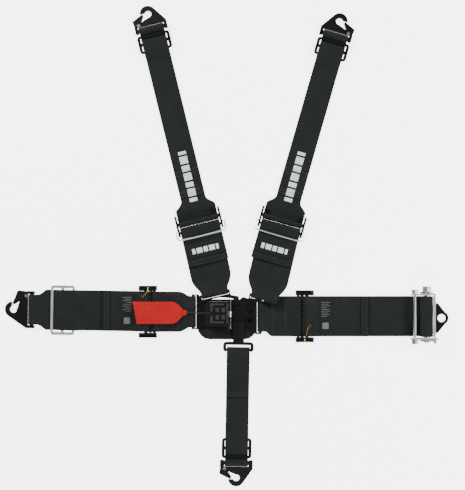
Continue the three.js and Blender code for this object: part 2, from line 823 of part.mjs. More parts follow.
function addLeftLap() {
  const inner = beltGroup(0, leftLap.y, 180);
  const eye = leftLap.adjusterS - adjuster.loopBehind;
  const root = trimmed(
    lapWebbing(doubleEye(leftLap.barX, latchBarZ, eye, 24)),
    widening(60, latch.webbingWidth, 97, 116, lapWidth, 200),
  );
  addMesh(inner, "lap_left_inner_webbing", root, "webbing");
  pivot(inner, "lap_left_root", [leftLap.barX, 0, latchBarZ], acrossBelt);
  const made = addAdjuster(inner, "lap_left", leftLap.adjusterS, adjuster.lapWidth, adjuster.lapLength);
  addMesh(inner, "lap_left_adjuster_frame", made.frame, "black");
  addBarSpring(inner, "lap_left", made.slider, -1, 27);
  pivot(inner, "lap_left_bar", [made.slider, 0, sliderZ], acrossBelt);
  pivot(inner, "lap_left_eye", [made.loopBar, 0, loopZ], acrossBelt);

  const outer = beltGroup(-made.slider, leftLap.outerY, 180 - leftLap.outerTilt);
  const slideInner = leftLap.slideEnd - lapSlide.length;
  const gathered = widening(-300, hookPlate.lapWebbing, -205, -189, lapWidth, 30).map(([s, u]) => [-s, u]);
  const line = [
    ...barTurn(leftLap.tailEnd),
    ...hookEnd(slideInner, leftLap.slideEnd, leftLap.hookBase + hookBarV),
  ];
  const skew = -Math.tan(THREE.MathUtils.degToRad(leftLap.outerTilt));
  const strap = squared(trimmed(lapWebbing(line), gathered), skew, (s) => (40 - s) / 12);
  addMesh(outer, "lap_left_outer_webbing", strap, "webbing");
  addMesh(outer, "lap_left_slide", slideFrame(slideInner, leftLap.slideEnd, lapSlide.width), "chrome");
  const { lapHalfWidth, lapLength, lapWebbing: narrow } = hookPlate;
  addHook(outer, "lap_left", leftLap.hookBase, lapHalfWidth, lapLength, narrow, 1);
}

function addRightLap() {
  const inner = beltGroup(0, rightLap.y, 0);
  const eye = rightLap.adjusterS - adjuster.loopBehind;
  const strap = trimmed(
    lapWebbing(doubleEye(rightLap.barX, linkBarZ, eye, 16)),
    widening(20, link.webbingWidth, 50, 60, lapWidth, 200),
  );
  addMesh(inner, "lap_right_inner_webbing", strap, "webbing");
  pivot(inner, "lap_right_root", [rightLap.barX, 0, linkBarZ], acrossBelt);
  const made = addAdjuster(inner, "lap_right", rightLap.adjusterS, adjuster.lapWidth, adjuster.lapLength);
  addMesh(inner, "lap_right_adjuster_frame", made.frame, "black");
  addBarSpring(inner, "lap_right", made.slider, -1, 15);
  pivot(inner, "lap_right_bar", [made.slider, 0, sliderZ], acrossBelt);
  pivot(inner, "lap_right_eye", [made.loopBar, 0, loopZ], acrossBelt);

  const outer = beltGroup(made.slider, rightLap.y, 0);
  const spool = rightLap.spoolS;
  const wound = ratchet.axisZ - ratchet.roll - clearance - halfWeb;
  const line = [...barTurn(rightLap.tailEnd), [spool - 12, floorLayer], [spool + 0.5, wound]];
  addMesh(outer, "lap_right_outer_webbing", lapWebbing(line), "webbing");
  const unit = new THREE.Group();
  unit.position.set(spool, 0, 0);
  outer.add(unit);
  addRatchet(unit);
}

// The ratchet about its spool, whose axis is at s = 0.
function addRatchet(unit) {
  const [inside, wall, axisZ] = [ratchet.cheekInside, ratchet.wall, ratchet.axisZ];
  const outside = inside + wall;
  const wallEnd = ratchet.wallS + wall;
  const bottom = 0.6;
  const cheek = [
    [ratchet.cheekInner, 6],
    [ratchet.cheekInner + 5, bottom],
    [wallEnd, bottom],
    [wallEnd, ratchet.height],
    [-13, ratchet.height],
    [ratchet.cheekInner, 20],
  ];
  const pawlAt = [14.8, axisZ + 9];
  const lug = across(
    [
      [8, bottom + 8],
      [pawlAt[0] + 5, axisZ + 4],
      [pawlAt[0] + 5, axisZ + 12],
      [8, axisZ + 11],
    ],
    -outside,
    -inside,
  );
  const frame = cut(
    join(
      across(cheek, inside, outside),
      across(cheek, -outside, -inside),
      box([ratchet.wallS, -outside + 1, bottom], [wallEnd, outside - 1, ratchet.height]),
      lug,
      barAcross(1.5, ...pawlAt, -outside - 8, -inside - 1, 12),
    ),
    barAcross(ratchet.shaft + 0.4, 0, axisZ, -80, 80, 24),
    barAcross(ratchet.rod + 0.3, ratchet.rodS, axisZ, -80, 80, 16),
  );
  addMesh(unit, "ratchet_frame", frame, "chrome");

  const tabEnd = wallEnd + 0.3;
  const eyeU = -3.5;
  const low = 0.4;
  const plate = flat(
    [
      [tabEnd, -ratchet.tabHalf + eyeU],
      [tabEnd + 7, -ratchet.tabHalf + eyeU],
      ...arc(ratchet.eyeS, eyeU, ratchet.eyeNose, -62, 62, 8),
      [tabEnd + 7, ratchet.tabHalf + eyeU],
      [tabEnd, ratchet.tabHalf + eyeU],
    ],
    low,
    low + ratchet.tabThickness,
  );
  const flange = box(
    [tabEnd, -ratchet.tabHalf + eyeU, low],
    [tabEnd + ratchet.tabThickness, ratchet.tabHalf + eyeU, ratchet.flange],
  );
  const eye = upright(ratchet.eyeHole, ratchet.eyeS, eyeU, -10, 40, 24);
  addMesh(unit, "ratchet_eye_tab", cut(join(plate, flange), eye), "black");
  pivot(unit, "ratchet_eye_face", [tabEnd + 5, eyeU + 17, low], [0, 0, -1]);
  pivot(unit, "ratchet_eye_hole", [ratchet.eyeS, eyeU, low], [0, 0, 1]);

  const headStart = outside + wall + 0.8;
  const headEnd = headStart + ratchet.hexLength;
  const head = barAcross(ratchet.hex / Math.cos(Math.PI / 6), 0, axisZ, headStart, headEnd, 6);
  const shaft = barAcross(ratchet.shaft, 0, axisZ, -outside - wall - 3, headEnd - 1, 24);
  addMesh(unit, "ratchet_spool", join(shaft, head), "zinc");
  const bore = barAcross(ratchet.shaft + 0.3, 0, axisZ, -80, 80, 24);
  const roll = barAcross(ratchet.roll, 0, axisZ, -lapWidth / 2, lapWidth / 2, 32);
  addMesh(unit, "ratchet_wound_webbing", cut(roll, bore), "webbing");
  const teeth = Array.from({ length: ratchet.teeth }, (_, i) => {
    const pitch = 360 / ratchet.teeth;
    const valley = i * pitch + ratchet.toothLean;
    const tip = arc(0, axisZ, ratchet.wheelTip, i * pitch, i * pitch + 5, 1);
    const root = arc(0, axisZ, ratchet.wheelRoot, valley, valley + 5, 1);
    return [...tip, ...root];
  }).flat();
  [1, -1].forEach((side) => {
    const faces = [side * (outside + clearance), side * (outside + clearance + ratchet.wheel)];
    const [near, far] = faces.sort((a, b) => a - b);
    const wheel = cut(across(teeth, near, far), bore);
    addMesh(unit, side > 0 ? "ratchet_wheel_upper" : "ratchet_wheel_lower", wheel, "zinc");
  });

  const rod = ratchet.rodS;
  const bolt = join(
    barAcross(ratchet.rod, rod, axisZ, -outside - ratchet.nutLength - 1, outside + 1, 16),
    barAcross(ratchet.rodHead, rod, axisZ, outside + 0.3, outside + 0.3 + ratchet.headLength, 6),
  );
  addMesh(unit, "ratchet_tie_bolt", bolt, "zinc");
  const nut = cut(
    barAcross(ratchet.rodHead, rod, axisZ, -outside - 0.3 - ratchet.nutLength, -outside - 0.3, 6),
    barAcross(ratchet.rod + 0.3, rod, axisZ, -80, 80, 16),
  );
  addMesh(unit, "ratchet_tie_nut", nut, "zinc");

  const near = -outside - clearance;
  const far = near - ratchet.wheel;
  const pawl = cut(
    join(
      barAcross(3, ...pawlAt, far, near, 14),
      across(
        [
          [pawlAt[0] - 1, pawlAt[1] + 2.6],
          [pawlAt[0] - 8, pawlAt[1] + 1.6],
          [pawlAt[0] - 8.3, pawlAt[1] - 0.4],
          [pawlAt[0] - 1, pawlAt[1] - 1],
        ],
        far,
        near,
      ),
    ),
    barAcross(1.8, ...pawlAt, -80, 80, 12),
  );
  addMesh(unit, "ratchet_pawl", pawl, "zinc");
  const coil = cut(
    barAcross(3, ...pawlAt, far - 3, far - 0.3, 14),
    barAcross(1.8, ...pawlAt, -80, 80, 12),
  );
  addMesh(unit, "ratchet_pawl_spring", coil, "zinc");
  pivot(unit, "ratchet_spin", [0, 0, axisZ], [0, 1, 0]);
  pivot(unit, "ratchet_tilt", [0, 0, axisZ], acrossBelt);
  pivot(unit, "ratchet_pawl_hinge", [pawlAt[0], near, pawlAt[1]], [0, 1, 0]);
}

// ---------- shoulder belts ----------
function addShoulder(spec) {
  const name = `shoulder_${spec.side}`;
  const rise = [spec.adjuster[0] - spec.root[0], spec.adjuster[1] - spec.root[1]];
  const turn = Math.atan2(rise[1], rise[0]);
  const reach = Math.hypot(...rise);
  addShoulderTongue(spec, turn);

  const run = [spec.hole[0] - spec.adjuster[0], spec.hole[1] - spec.adjuster[1]];
  const slider = adjuster.sliderAhead;
  const upper = beltGroup(...spec.adjuster, THREE.MathUtils.radToDeg(Math.atan2(run[1], run[0])));
  const made = addAdjuster(upper, name, 0, adjuster.shoulderWidth, adjuster.shoulderLength);
  const pinHole = barAcross(wireRadius + 0.3, bail.pivotS, bail.pivotZ, -60, 60, 12);
  addMesh(upper, name + "_adjuster_frame", cut(made.frame, pinHole), "black");
  pivot(upper, name + "_bar", [slider, 0, sliderZ], acrossBelt);

  const lower = beltGroup(...spec.root, THREE.MathUtils.radToDeg(turn));
  const eye = reach + made.loopBar;
  const strap = trimmed(
    webbing(doubleEye(0, spec.rootZ, eye, 30), lapWidth),
    widening(-20, shoulder.rootWidth, 8, shoulder.taper, lapWidth, 200),
  );
  const skew = Math.tan(turn - Math.atan2(run[1], run[0]));
  const sewn = squared(strap, skew, (s) => (s - eye + 30) / 12);
  addMesh(lower, name + "_lower_webbing", sewn, "webbing");
  pivot(lower, name + "_root", [0, 0, spec.rootZ], acrossBelt);

  const resting = topLayer + webbingThickness + clearance + 0.2;
  const overEye = loopZ + loopOuter + clearance + halfWeb;
  const tail = [
    [-3.5, overEye + 0.8],
    [made.loopBar, overEye + 0.3],
    [made.loopBar - 6, overEye - 2],
    [made.loopBar - 11.5, overEye - 3.9],
    [made.loopBar - 23.5, resting],
    [shoulder.tailEnd, resting],
  ];
  addMesh(upper, name + "_tail", webbing(tail, lapWidth), "webbing");

  const bow = [
    [bail.pivotS, adjuster.inside + 0.7, bail.pivotZ],
    [bail.pivotS, bail.halfWidth - 1.2, bail.pivotZ],
    [bail.pivotS - 0.4, bail.halfWidth - 0.3, bail.pivotZ + 0.05],
    [bail.pivotS - 1.5, bail.halfWidth, bail.pivotZ + 0.2],
    [bail.crossS + 4, bail.halfWidth, bail.crossZ - 0.5],
    [bail.crossS + 1, bail.halfWidth - 1, bail.crossZ - 0.1],
    [bail.crossS, bail.halfWidth - 4, bail.crossZ],
  ];
  const loop = [...bow, ...bow.map(([s, u, z]) => [s, -u, z]).reverse()];
  addMesh(upper, name + "_bail", wire(loop, wireRadius, 8, 40), "chrome");
  pivot(upper, name + "_bail_hinge", [bail.pivotS, 0, bail.pivotZ], [0, 1, 0]);

  const hookBase = Math.hypot(...run) - (hookPlate.length - hookPlate.noseRadius - hookPlate.holeBack);
  const slideOuter = hookBase - shoulder.slide.gap;
  const slideInner = slideOuter - shoulder.slide.length;
  const shifted = barTurn(slider + 9)
    .slice(2)
    .map(([s, z]) => [s + slider, z]);
  const plan = widening(-600, shoulderWidth, -shoulder.flareEnd, -shoulder.flareStart, lapWidth, 30);
  const mirrored = plan.map(([s, u]) => [-s, u]);
  const line = [...shifted, ...hookEnd(slideInner, slideOuter, hookBase + hookBarV)];
  addMesh(upper, name + "_upper_webbing", trimmed(webbing(line, lapWidth), mirrored), "webbing");
  const { width } = shoulder.slide;
  addMesh(upper, name + "_slide", slideFrame(slideInner, slideOuter, width), "black");
  addHook(upper, name, hookBase, hookPlate.halfWidth, hookPlate.length, shoulderWidth, spec.gate);
}

function addCrotch() {
  const degrees = -90 - crotch.tilt;
  const belt = beltGroup(...crotch.bar, degrees);
  addCrotchTongue(belt, THREE.MathUtils.degToRad(degrees));
  const slideOuter = crotch.hookBase - crotch.slide.gap;
  const slideInner = slideOuter - crotch.slide.length;
  const upper = [17, topLayer];
  const lower = [10, floorLayer];
  const start = touchAngle(upper, [0, crotch.barZ], endLoopRadius, 1);
  const end = touchAngle(lower, [0, crotch.barZ], endLoopRadius, -1) + 360;
  const line = [
    [90, topLayer],
    upper,
    ...arc(0, crotch.barZ, endLoopRadius, start, end, 14),
    lower,
    ...hookEnd(slideInner, slideOuter, crotch.hookBase + hookBarV),
  ];
  addMesh(belt, "crotch_webbing", webbing(line, crotchWidth), "webbing");
  addMesh(belt, "crotch_slide", slideFrame(slideInner, slideOuter, crotch.slide.width), "black");
  addHook(belt, "crotch", crotch.hookBase, hookPlate.halfWidth, hookPlate.length, crotchWidth, 1);
  pivot(belt, "crotch_root", [0, 0, crotch.barZ], acrossBelt);
}

// ---------- pull tab ----------
function addPullTab() {
  const y = latch.y + 2;
  const cordLine = [
    [cord.startX, y, cord.startZ],
    [lever.left + 2, y, cord.startZ],
    [lever.left - 4, y, cord.startZ - 1.5],
    [-82, y, 17],
    [-94, y, 12.4],
    [tab.start + 7, y, 10],
  ];
  addMesh(group, "pull_cord", wire(cordLine, cord.radius, 8, 30), "webbing");
  const half = tab.width / 2;
  const neck = 5;
  const plan = flat(
    [
      [tab.start + 6, y - neck],
      [tab.start + 6, y + neck],
      [tab.start - 8, y + half - 3],
      [tab.start - 15, y + half],
      [tab.end + 3, y + half],
      [tab.end, y + half - 3],
      [tab.end + 2, y - half + 3],
      [tab.end + 5, y - half],
      [tab.start - 13, y - half],
      [tab.start - 6, y - half + 3],
    ],
    0,
    40,
  );
  const high = sliderZ + wrapOuter + clearance + tab.thickness / 2 + 0.4;
  const profile = band(
    [
      [tab.start + 6.4, 8],
      [tab.start - 4, 8],
      [-148, high],
      [tab.end - 2, high],
    ],
    tab.thickness,
  );
  addMesh(group, "pull_tab", plan.intersect(across(profile, -60, 60)), "red");
  pivot(group, "pull_tab_swing", [cord.startX, y, cord.startZ], [0, 1, 0]);
}

addBuckle();
addLink();
addLeftLap();
addRightLap();
shoulders.forEach(addShoulder);
addCrotch();
addPullTab();

export default group;
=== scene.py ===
"""Racing harness laid flat: webbing, pad, pull tab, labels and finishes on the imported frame.

Lengths are in metres. The origin is on the back of the buckle pad, under the post that the
tongues hang on: +Z up, +Y towards the shoulder belts, +X towards the ratchet. Each belt is
shaped in its own frame, where s runs outwards along the belt, u across it and z up.
"""

import math

import bpy
from mathutils import Matrix, Vector


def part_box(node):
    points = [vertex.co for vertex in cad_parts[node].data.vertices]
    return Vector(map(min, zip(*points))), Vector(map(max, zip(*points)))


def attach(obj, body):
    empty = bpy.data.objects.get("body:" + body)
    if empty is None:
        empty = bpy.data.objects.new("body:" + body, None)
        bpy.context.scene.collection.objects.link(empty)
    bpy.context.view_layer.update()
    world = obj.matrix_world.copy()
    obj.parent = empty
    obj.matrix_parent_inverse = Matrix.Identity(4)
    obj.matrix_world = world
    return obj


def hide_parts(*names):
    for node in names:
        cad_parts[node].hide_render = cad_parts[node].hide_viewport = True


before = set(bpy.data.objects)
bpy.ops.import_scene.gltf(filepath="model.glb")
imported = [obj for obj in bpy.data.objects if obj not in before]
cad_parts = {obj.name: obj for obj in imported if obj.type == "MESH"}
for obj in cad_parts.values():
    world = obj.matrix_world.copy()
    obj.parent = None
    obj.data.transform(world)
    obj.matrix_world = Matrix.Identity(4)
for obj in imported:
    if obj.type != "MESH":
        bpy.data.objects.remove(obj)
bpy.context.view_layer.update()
CAD_NAMES = {o.name for o in bpy.data.objects if o.type == "MESH"}

bl_info = {
    "name": "Racing harness",
    "version": (1, 0, 0),
    "blender": (4, 2, 0),
    "location": "3D Viewport > Sidebar > Harness",
    "description": "Builds the webbing, pad, pull tab, labels and finishes of a racing harness",
    "category": "Object",
}

MM = 0.001
FLOOR_GAP = 0.2 * MM
CLEARANCE = 0.4 * MM
THICK = 1.8 * MM


# ---------- sizes and colours a user may change ----------
class HarnessWebbing(bpy.types.PropertyGroup):
    lap_width: bpy.props.FloatProperty(
        name="Lap width", description="Width of the lap belts", default=76 * MM, unit="LENGTH"
    )
    shoulder_width: bpy.props.FloatProperty(
        name="Shoulder width", description="Width of the shoulder belts", default=47.4 * MM, unit="LENGTH"
    )
    crotch_width: bpy.props.FloatProperty(
        name="Crotch width", description="Width of the crotch belt", default=43.4 * MM, unit="LENGTH"
    )
    colour: bpy.props.FloatVectorProperty(
        name="Webbing colour",
        description="Colour of the belts",
        subtype="COLOR",
        size=3,
        default=(0.0056, 0.0074, 0.0072),
    )


class HarnessTab(bpy.types.PropertyGroup):
    colour: bpy.props.FloatVectorProperty(
        name="Pull tab colour",
        description="Colour of the pull tab and its cord",
        subtype="COLOR",
        size=3,
        default=(0.42, 0.001, 0.004),
    )


class HarnessPad(bpy.types.PropertyGroup):
    thickness: bpy.props.FloatProperty(
        name="Pad thickness", description="Thickness of the buckle pad", default=4 * MM, unit="LENGTH"
    )
    corner: bpy.props.FloatProperty(
        name="Pad corner", description="Radius of the pad's lower corners", default=24 * MM, unit="LENGTH"
    )


GROUPS = {"harness_webbing": HarnessWebbing, "harness_tab": HarnessTab, "harness_pad": HarnessPad}


# ---------- belt frames ----------
class Belt:
    """A belt's own frame: where it starts, and which way it runs on the floor."""

    def __init__(self, x, y, degrees):
        self.turn = math.radians(degrees)
        self.matrix = Matrix.Translation((x, y, 0)) @ Matrix.Rotation(self.turn, 4, "Z")

    def at(self, s, u=0.0, z=0.0):
        return self.matrix @ Vector((s, u, z))


def direction(start, end):
    return math.degrees(math.atan2(end[1] - start[1], end[0] - start[0]))


def distance(start, end):
    return math.hypot(end[0] - start[0], end[1] - start[1])


LEFT_SLIDER = 177 * MM
RIGHT_SLIDER = 125.5 * MM
LEFT_INNER = Belt(0, 2.6 * MM, 180)
LEFT_OUTER = Belt(-LEFT_SLIDER, 3.2 * MM, 180 - 0.93)
RIGHT_INNER = Belt(0, -5.9 * MM, 0)
RIGHT_OUTER = Belt(RIGHT_SLIDER, -5.9 * MM, 0)
CROTCH = Belt(-3.2 * MM, -69 * MM, -90.98)

SHOULDERS = {
    "left": {
        "root": (-47.2 * MM, 36.8 * MM),
        "root_z": 9.6 * MM,
        "adjuster": (-77.3 * MM, 171.6 * MM),
        "hole": (-173.3 * MM, 562.4 * MM),
    },
    "right": {
        "root": (45.3 * MM, 29.2 * MM),
        "root_z": 14.7 * MM,
        "adjuster": (79 * MM, 171.6 * MM),
        "hole": (187.3 * MM, 548.6 * MM),
    },
}
for spec in SHOULDERS.values():
    spec["lower"] = Belt(*spec["root"], direction(spec["root"], spec["adjuster"]))
    spec["upper"] = Belt(*spec["adjuster"], direction(spec["adjuster"], spec["hole"]))
    spec["reach"] = distance(spec["root"], spec["adjuster"])
    spec["hook_base"] = distance(spec["adjuster"], spec["hole"]) - 34 * MM


# ---------- bars that the webbing turns round ----------
HALF = THICK / 2
FLOOR_LAYER = FLOOR_GAP + HALF
TOP_LAYER = FLOOR_LAYER + THICK + CLEARANCE
WRAP = 3.5 * MM + 1 * MM + CLEARANCE + HALF
SLIDER_Z = FLOOR_GAP + WRAP + HALF
EYE = math.hypot(5 * MM, 4 * MM) / 2 + CLEARANCE + HALF
EYE_Z = FLOOR_GAP + EYE + HALF
HOOK_LOOP = math.hypot(8 * MM, 4 * MM) / 2 + CLEARANCE + HALF
HOOK_Z = FLOOR_GAP + HOOK_LOOP + HALF
HOOK_BAR = 5.5 * MM
ROOT_EYE = math.hypot(6 * MM, 2.5 * MM) / 2 + CLEARANCE + HALF
LATCH_BAR_Z = 5.55 * MM
LINK_BAR_Z = 8.2 * MM
LAYER_TOP = TOP_LAYER + HALF
TAIL_LAYER = TOP_LAYER + THICK + CLEARANCE + 0.2 * MM

# ---------- places along the belts, as s in each belt's own frame ----------
LATCH_EYE = 88 * MM
LEFT_ADJUSTER_EYE = 161 * MM
LINK_EYE = 38 * MM
RIGHT_ADJUSTER_EYE = 109.5 * MM
LEFT_TAIL = 81 * MM
RIGHT_TAIL = 115.5 * MM
LEFT_SLIDE = (134 * MM, 179 * MM)
SPOOL = 225 * MM
SHOULDER_SLIDER = 3.5 * MM
SHOULDER_EYE = -12.5 * MM
SHOULDER_TAIL = -79 * MM
CROTCH_SLIDE_OUTER = 204 * MM
LAP_LABEL_START = 24.5 * MM
LAP_LABEL_LENGTH = 24 * MM
FOLD_LENGTH = 13 * MM
FOLD_RISE = 1.9 * MM
DOUBLING = (49 * MM, 104 * MM)
TAB_WIDTH = 41.5 * MM
TAB_THICKNESS = 1.6 * MM
CORD_DIAMETER = 2 * MM
PAD_UPPER_CORNER = 8 * MM

# Lap label: each line's share of the full length. Blocks: their lengths in millimetres.
LABEL_LINES = (1.0, 0.8, 1.0, 0.55, 0.9, 1.0, 0.7, 0.95, 0.6)
PATCH_BLOCKS = (5, 11, 8, 11, 6)
BELT_BLOCKS = (7, 14, 9, 14, 11, 14, 6)


# ---------- side lines of the belts, as (s, z) points ----------
def arc(centre, radius, start, end, steps=16):
    """Points round part of a circle, from one angle to the other, in degrees."""
    points = []
    for i in range(steps + 1):
        angle = math.radians(start + (end - start) * i / steps)
        points.append((centre[0] + radius * math.cos(angle), centre[1] + radius * math.sin(angle)))
    return points


def touch(point, centre, radius, side):
    """The angle at which a line from a point touches a circle; side is 1 above it and -1 below."""
    s = point[0] - centre[0]
    z = point[1] - centre[1]
    turn = math.acos(radius / math.hypot(s, z))
    return math.degrees(math.atan2(z, s) + (-side if s < 0 else side) * turn)


def outer_turn(upper, centre, radius, lower):
    """A turn round a bar at a belt's outer end, from its upper layer to its lower one."""
    start = touch(upper, centre, radius, 1) % 360
    end = touch(lower, centre, radius, -1) % 360 - 360
    return [upper, *arc(centre, radius, start, end), lower]


def inner_turn(upper, centre, radius, lower):
    """A turn round a bar at a belt's inner end, from its upper layer to its lower one."""
    start = touch(upper, centre, radius, 1)
    end = touch(lower, centre, radius, -1) + 360
    return [upper, *arc(centre, radius, start, end), lower]


def hook_end(slide_inner, slide_outer, hook_s):
    """Both layers of a belt through its slide and round its hook's bar."""
    under = TOP_LAYER + HALF + CLEARANCE
    over = under + 3.5 * MM + CLEARANCE + HALF
    middle = (slide_inner + slide_outer) / 2
    upper = (slide_outer + 0.5 * MM, TOP_LAYER)
    lower = (slide_outer - 6 * MM, FLOOR_LAYER)
    return [
        (slide_inner - 16 * MM, FLOOR_LAYER),
        (slide_inner - 13 * MM, FLOOR_LAYER + 1.2 * MM),
        (slide_inner - 5 * MM, over - 1.2 * MM),
        (slide_inner - 2 * MM, over),
        (middle + 3.6 * MM, over),
        (slide_outer - 5.6 * MM, TOP_LAYER),
        *outer_turn(upper, (hook_s, HOOK_Z), HOOK_LOOP, lower),
        (slide_inner - 6 * MM, FLOOR_LAYER),
    ]


def double_eye(inner_s, inner_z, outer_s, spread):
    """A strap with an eye at each end, its ends sewn together under the middle."""
    middle = (inner_s + outer_s) / 2
    upper = (inner_s + spread, TOP_LAYER)
    lower = (inner_s + spread * 0.6, FLOOR_LAYER)
    above = (outer_s - 14 * MM, TOP_LAYER)
    below = (outer_s - 8 * MM, FLOOR_LAYER)
    outer = outer_turn(above, (outer_s, EYE_Z), EYE, below)
    return [
        (middle + 0.5 * MM, FLOOR_LAYER),
        *outer[::-1],
        *inner_turn(upper, (inner_s, inner_z), ROOT_EYE, lower),
        (middle - 0.5 * MM, FLOOR_LAYER),
    ]


def bar_turn(slider_s, tail_end):
    """A belt's tail on top, its turn round the adjuster's bar, and its start back along the floor."""
    upper = (slider_s + 23 * MM, TOP_LAYER)
    lower = (slider_s + 13 * MM, FLOOR_LAYER)
    return [(tail_end, TOP_LAYER), *inner_turn(upper, (slider_s, SLIDER_Z), WRAP, lower)]


def widening(stations):
    """The belt's width at s, from (s, width) stations joined by smooth steps."""

    def width_at(s):
        if s <= stations[0][0]:
            return stations[0][1]
        for (start, narrow), (end, wide) in zip(stations, stations[1:]):
            if s <= end:
                share = math.sin((s - start) / (end - start) * math.pi / 2)
                return narrow + (wide - narrow) * share
        return stations[-1][1]

    return width_at


def refined(line, stations, step=4 * MM):
    """The line with points added where the belt's width changes."""
    if not stations:
        return line
    low, high = stations[0][0], stations[-1][0]
    points = [line[0]]
    for start, end in zip(line, line[1:]):
        run = abs(end[0] - start[0])
        near = min(start[0], end[0]) < high and max(start[0], end[0]) > low
        count = max(1, round(run / step)) if near else 1
        for i in range(1, count + 1):
            share = i / count
            points.append((start[0] + (end[0] - start[0]) * share, start[1] + (end[1] - start[1]) * share))
    return points


# ---------- shaping ----------
def start_clean():
    if bpy.context.mode != "OBJECT":
        bpy.ops.object.mode_set(mode="OBJECT")
    bpy.ops.object.select_all(action="DESELECT")


def settle(piece, belt=None):
    """Puts a piece in its belt's place and leaves its object at the origin, unturned and unscaled."""
    start_clean()
    piece.select_set(True)
    bpy.context.view_layer.objects.active = piece
    if belt:
        piece.matrix_world = belt.matrix @ piece.matrix_world
    bpy.ops.object.transform_apply(location=True, rotation=True, scale=True)


def apply_modifier(piece, kind, **settings):
    modifier = piece.modifiers.new(kind.title(), kind)
    for name, value in settings.items():
        setattr(modifier, name, value)
    bpy.context.view_layer.objects.active = piece
    bpy.ops.object.modifier_apply(modifier=modifier.name)


def soften(piece, edge):
    """Rounds a piece's sharp edges by this width, and shades it smooth across them."""
    sharp = math.radians(50)
    apply_modifier(piece, "BEVEL", width=edge, segments=2, limit_method="ANGLE", angle_limit=sharp)
    bpy.ops.object.shade_smooth_by_angle(angle=math.radians(40))


def select_points(piece, wanted):
    """Selects the piece's vertices that pass a test on their place."""
    bpy.ops.object.mode_set(mode="EDIT")
    bpy.ops.mesh.select_mode(type="VERT")
    bpy.ops.mesh.select_all(action="DESELECT")
    bpy.ops.object.mode_set(mode="OBJECT")
    for vertex in piece.data.vertices:
        vertex.select = wanted(vertex.co)
    bpy.ops.object.mode_set(mode="EDIT")


def strap(name, belt, line, width, thickness=THICK, stations=(), skews=(), edge=0.45 * MM):
    """A strap drawn out from one edge along its side line, then thickened and rounded at its edges.

    stations give its width along s where it changes. skews are (low, high, degrees) stretches
    along s, where an eye lies square on a bar that stands at an angle to the belt.
    """
    line = refined(line, stations)
    width_at = widening(stations) if stations else (lambda s: width)
    start_clean()
    bpy.ops.mesh.primitive_plane_add(size=1, location=(0, 0, 0))
    piece = bpy.context.active_object
    piece.name = name
    select_points(piece, lambda co: co.x > 0)
    bpy.ops.mesh.delete(type="VERT")
    bpy.ops.mesh.select_all(action="SELECT")
    wide = width_at(line[0][0])
    bpy.ops.transform.resize(value=(1, wide, 1), center_override=(0, 0, 0))
    bpy.ops.transform.translate(value=(line[0][0] + 0.5, 0, line[0][1]))
    for (s0, z0), (s1, z1) in zip(line, line[1:]):
        bpy.ops.mesh.extrude_region_move(TRANSFORM_OT_translate={"value": (s1 - s0, 0, z1 - z0)})
        new = width_at(s1)
        if abs(new - wide) > 1e-7:
            bpy.ops.transform.resize(value=(1, new / wide, 1), center_override=(s1, 0, z1))
            wide = new
    bpy.ops.object.mode_set(mode="OBJECT")
    for low, high, degrees in skews:
        square_up(piece, low, high, degrees)
    apply_modifier(piece, "SOLIDIFY", thickness=thickness, offset=0, use_even_offset=True)
    soften(piece, edge)
    settle(piece, belt)
    return piece


def square_up(piece, low, high, degrees):
    """Moves the two sides of a stretch of a strap along it, so that its eye lies square on a bar."""
    slope = math.tan(math.radians(degrees))
    for side in (1, -1):
        select_points(piece, lambda co: low <= co.x <= high and co.y * side > 0)
        chosen = [v.co.y for v in piece.data.vertices if low <= v.co.x <= high and v.co.y * side > 0]
        bpy.ops.transform.translate(value=(slope * sum(chosen) / len(chosen), 0, 0))
        bpy.ops.object.mode_set(mode="OBJECT")


def plate(name, belt, low, high, material, edge=0.3 * MM, corner=0.0):
    """A flat piece between two corners in the belt's frame, with softened edges."""
    size = [b - a for a, b in zip(low, high)]
    middle = [(a + b) / 2 for a, b in zip(low, high)]
    start_clean()
    bpy.ops.mesh.primitive_cube_add(size=1, location=middle)
    piece = bpy.context.active_object
    piece.name = name
    piece.scale = size
    bpy.ops.object.transform_apply(location=True, rotation=True, scale=True)
    if corner:
        bpy.ops.object.mode_set(mode="EDIT")
        bpy.ops.mesh.select_mode(type="EDGE")
        bpy.ops.mesh.select_all(action="DESELECT")
        bpy.ops.object.mode_set(mode="OBJECT")
        points = piece.data.vertices
        for side in piece.data.edges:
            a, b = (points[i].co for i in side.vertices)
            side.select = abs(a.z - b.z) > size[2] * 0.5
        bpy.ops.object.mode_set(mode="EDIT")
        bpy.ops.mesh.bevel(offset=corner, segments=5)
        bpy.ops.object.mode_set(mode="OBJECT")
    soften(piece, edge)
    settle(piece, belt)
    piece.data.materials.append(material)
    return piece


def repeated(piece, count, offset):
    """Repeats a piece along a line."""
    apply_modifier(
        piece,
        "ARRAY",
        count=count,
        use_relative_offset=False,
        use_constant_offset=True,
        constant_offset_displace=offset,
    )


def joined(name, pieces):
    start_clean()
    for piece in pieces:
        piece.select_set(True)
    bpy.context.view_layer.objects.active = pieces[0]
    if len(pieces) > 1:
        bpy.ops.object.join()
    pieces[0].name = name
    return pieces[0]


def stitch_row(belt, start, end, material, pitch=3.2 * MM, radius=0.28 * MM):
    """A row of stitches in the belt's frame, standing a little proud of the webbing."""
    run = Vector(end) - Vector(start)
    count = max(2, round(run.length / pitch))
    start_clean()
    bpy.ops.mesh.primitive_cylinder_add(
        vertices=6,
        radius=radius,
        depth=pitch * 0.72,
        location=Vector(start) + run * (0.5 / count),
        rotation=run.to_track_quat("Z", "Y").to_euler(),
    )
    piece = bpy.context.active_object
    bpy.ops.object.transform_apply(location=True, rotation=True, scale=True)
    repeated(piece, count, run / count)
    settle(piece, belt)
    piece.data.materials.append(material)
    return piece


# ---------- finishes ----------
def colour4(rgb):
    return (*rgb, 1.0)


def new_material(name):
    material = bpy.data.materials.new("finish_" + name)
    material.use_nodes = True
    return material, material.node_tree


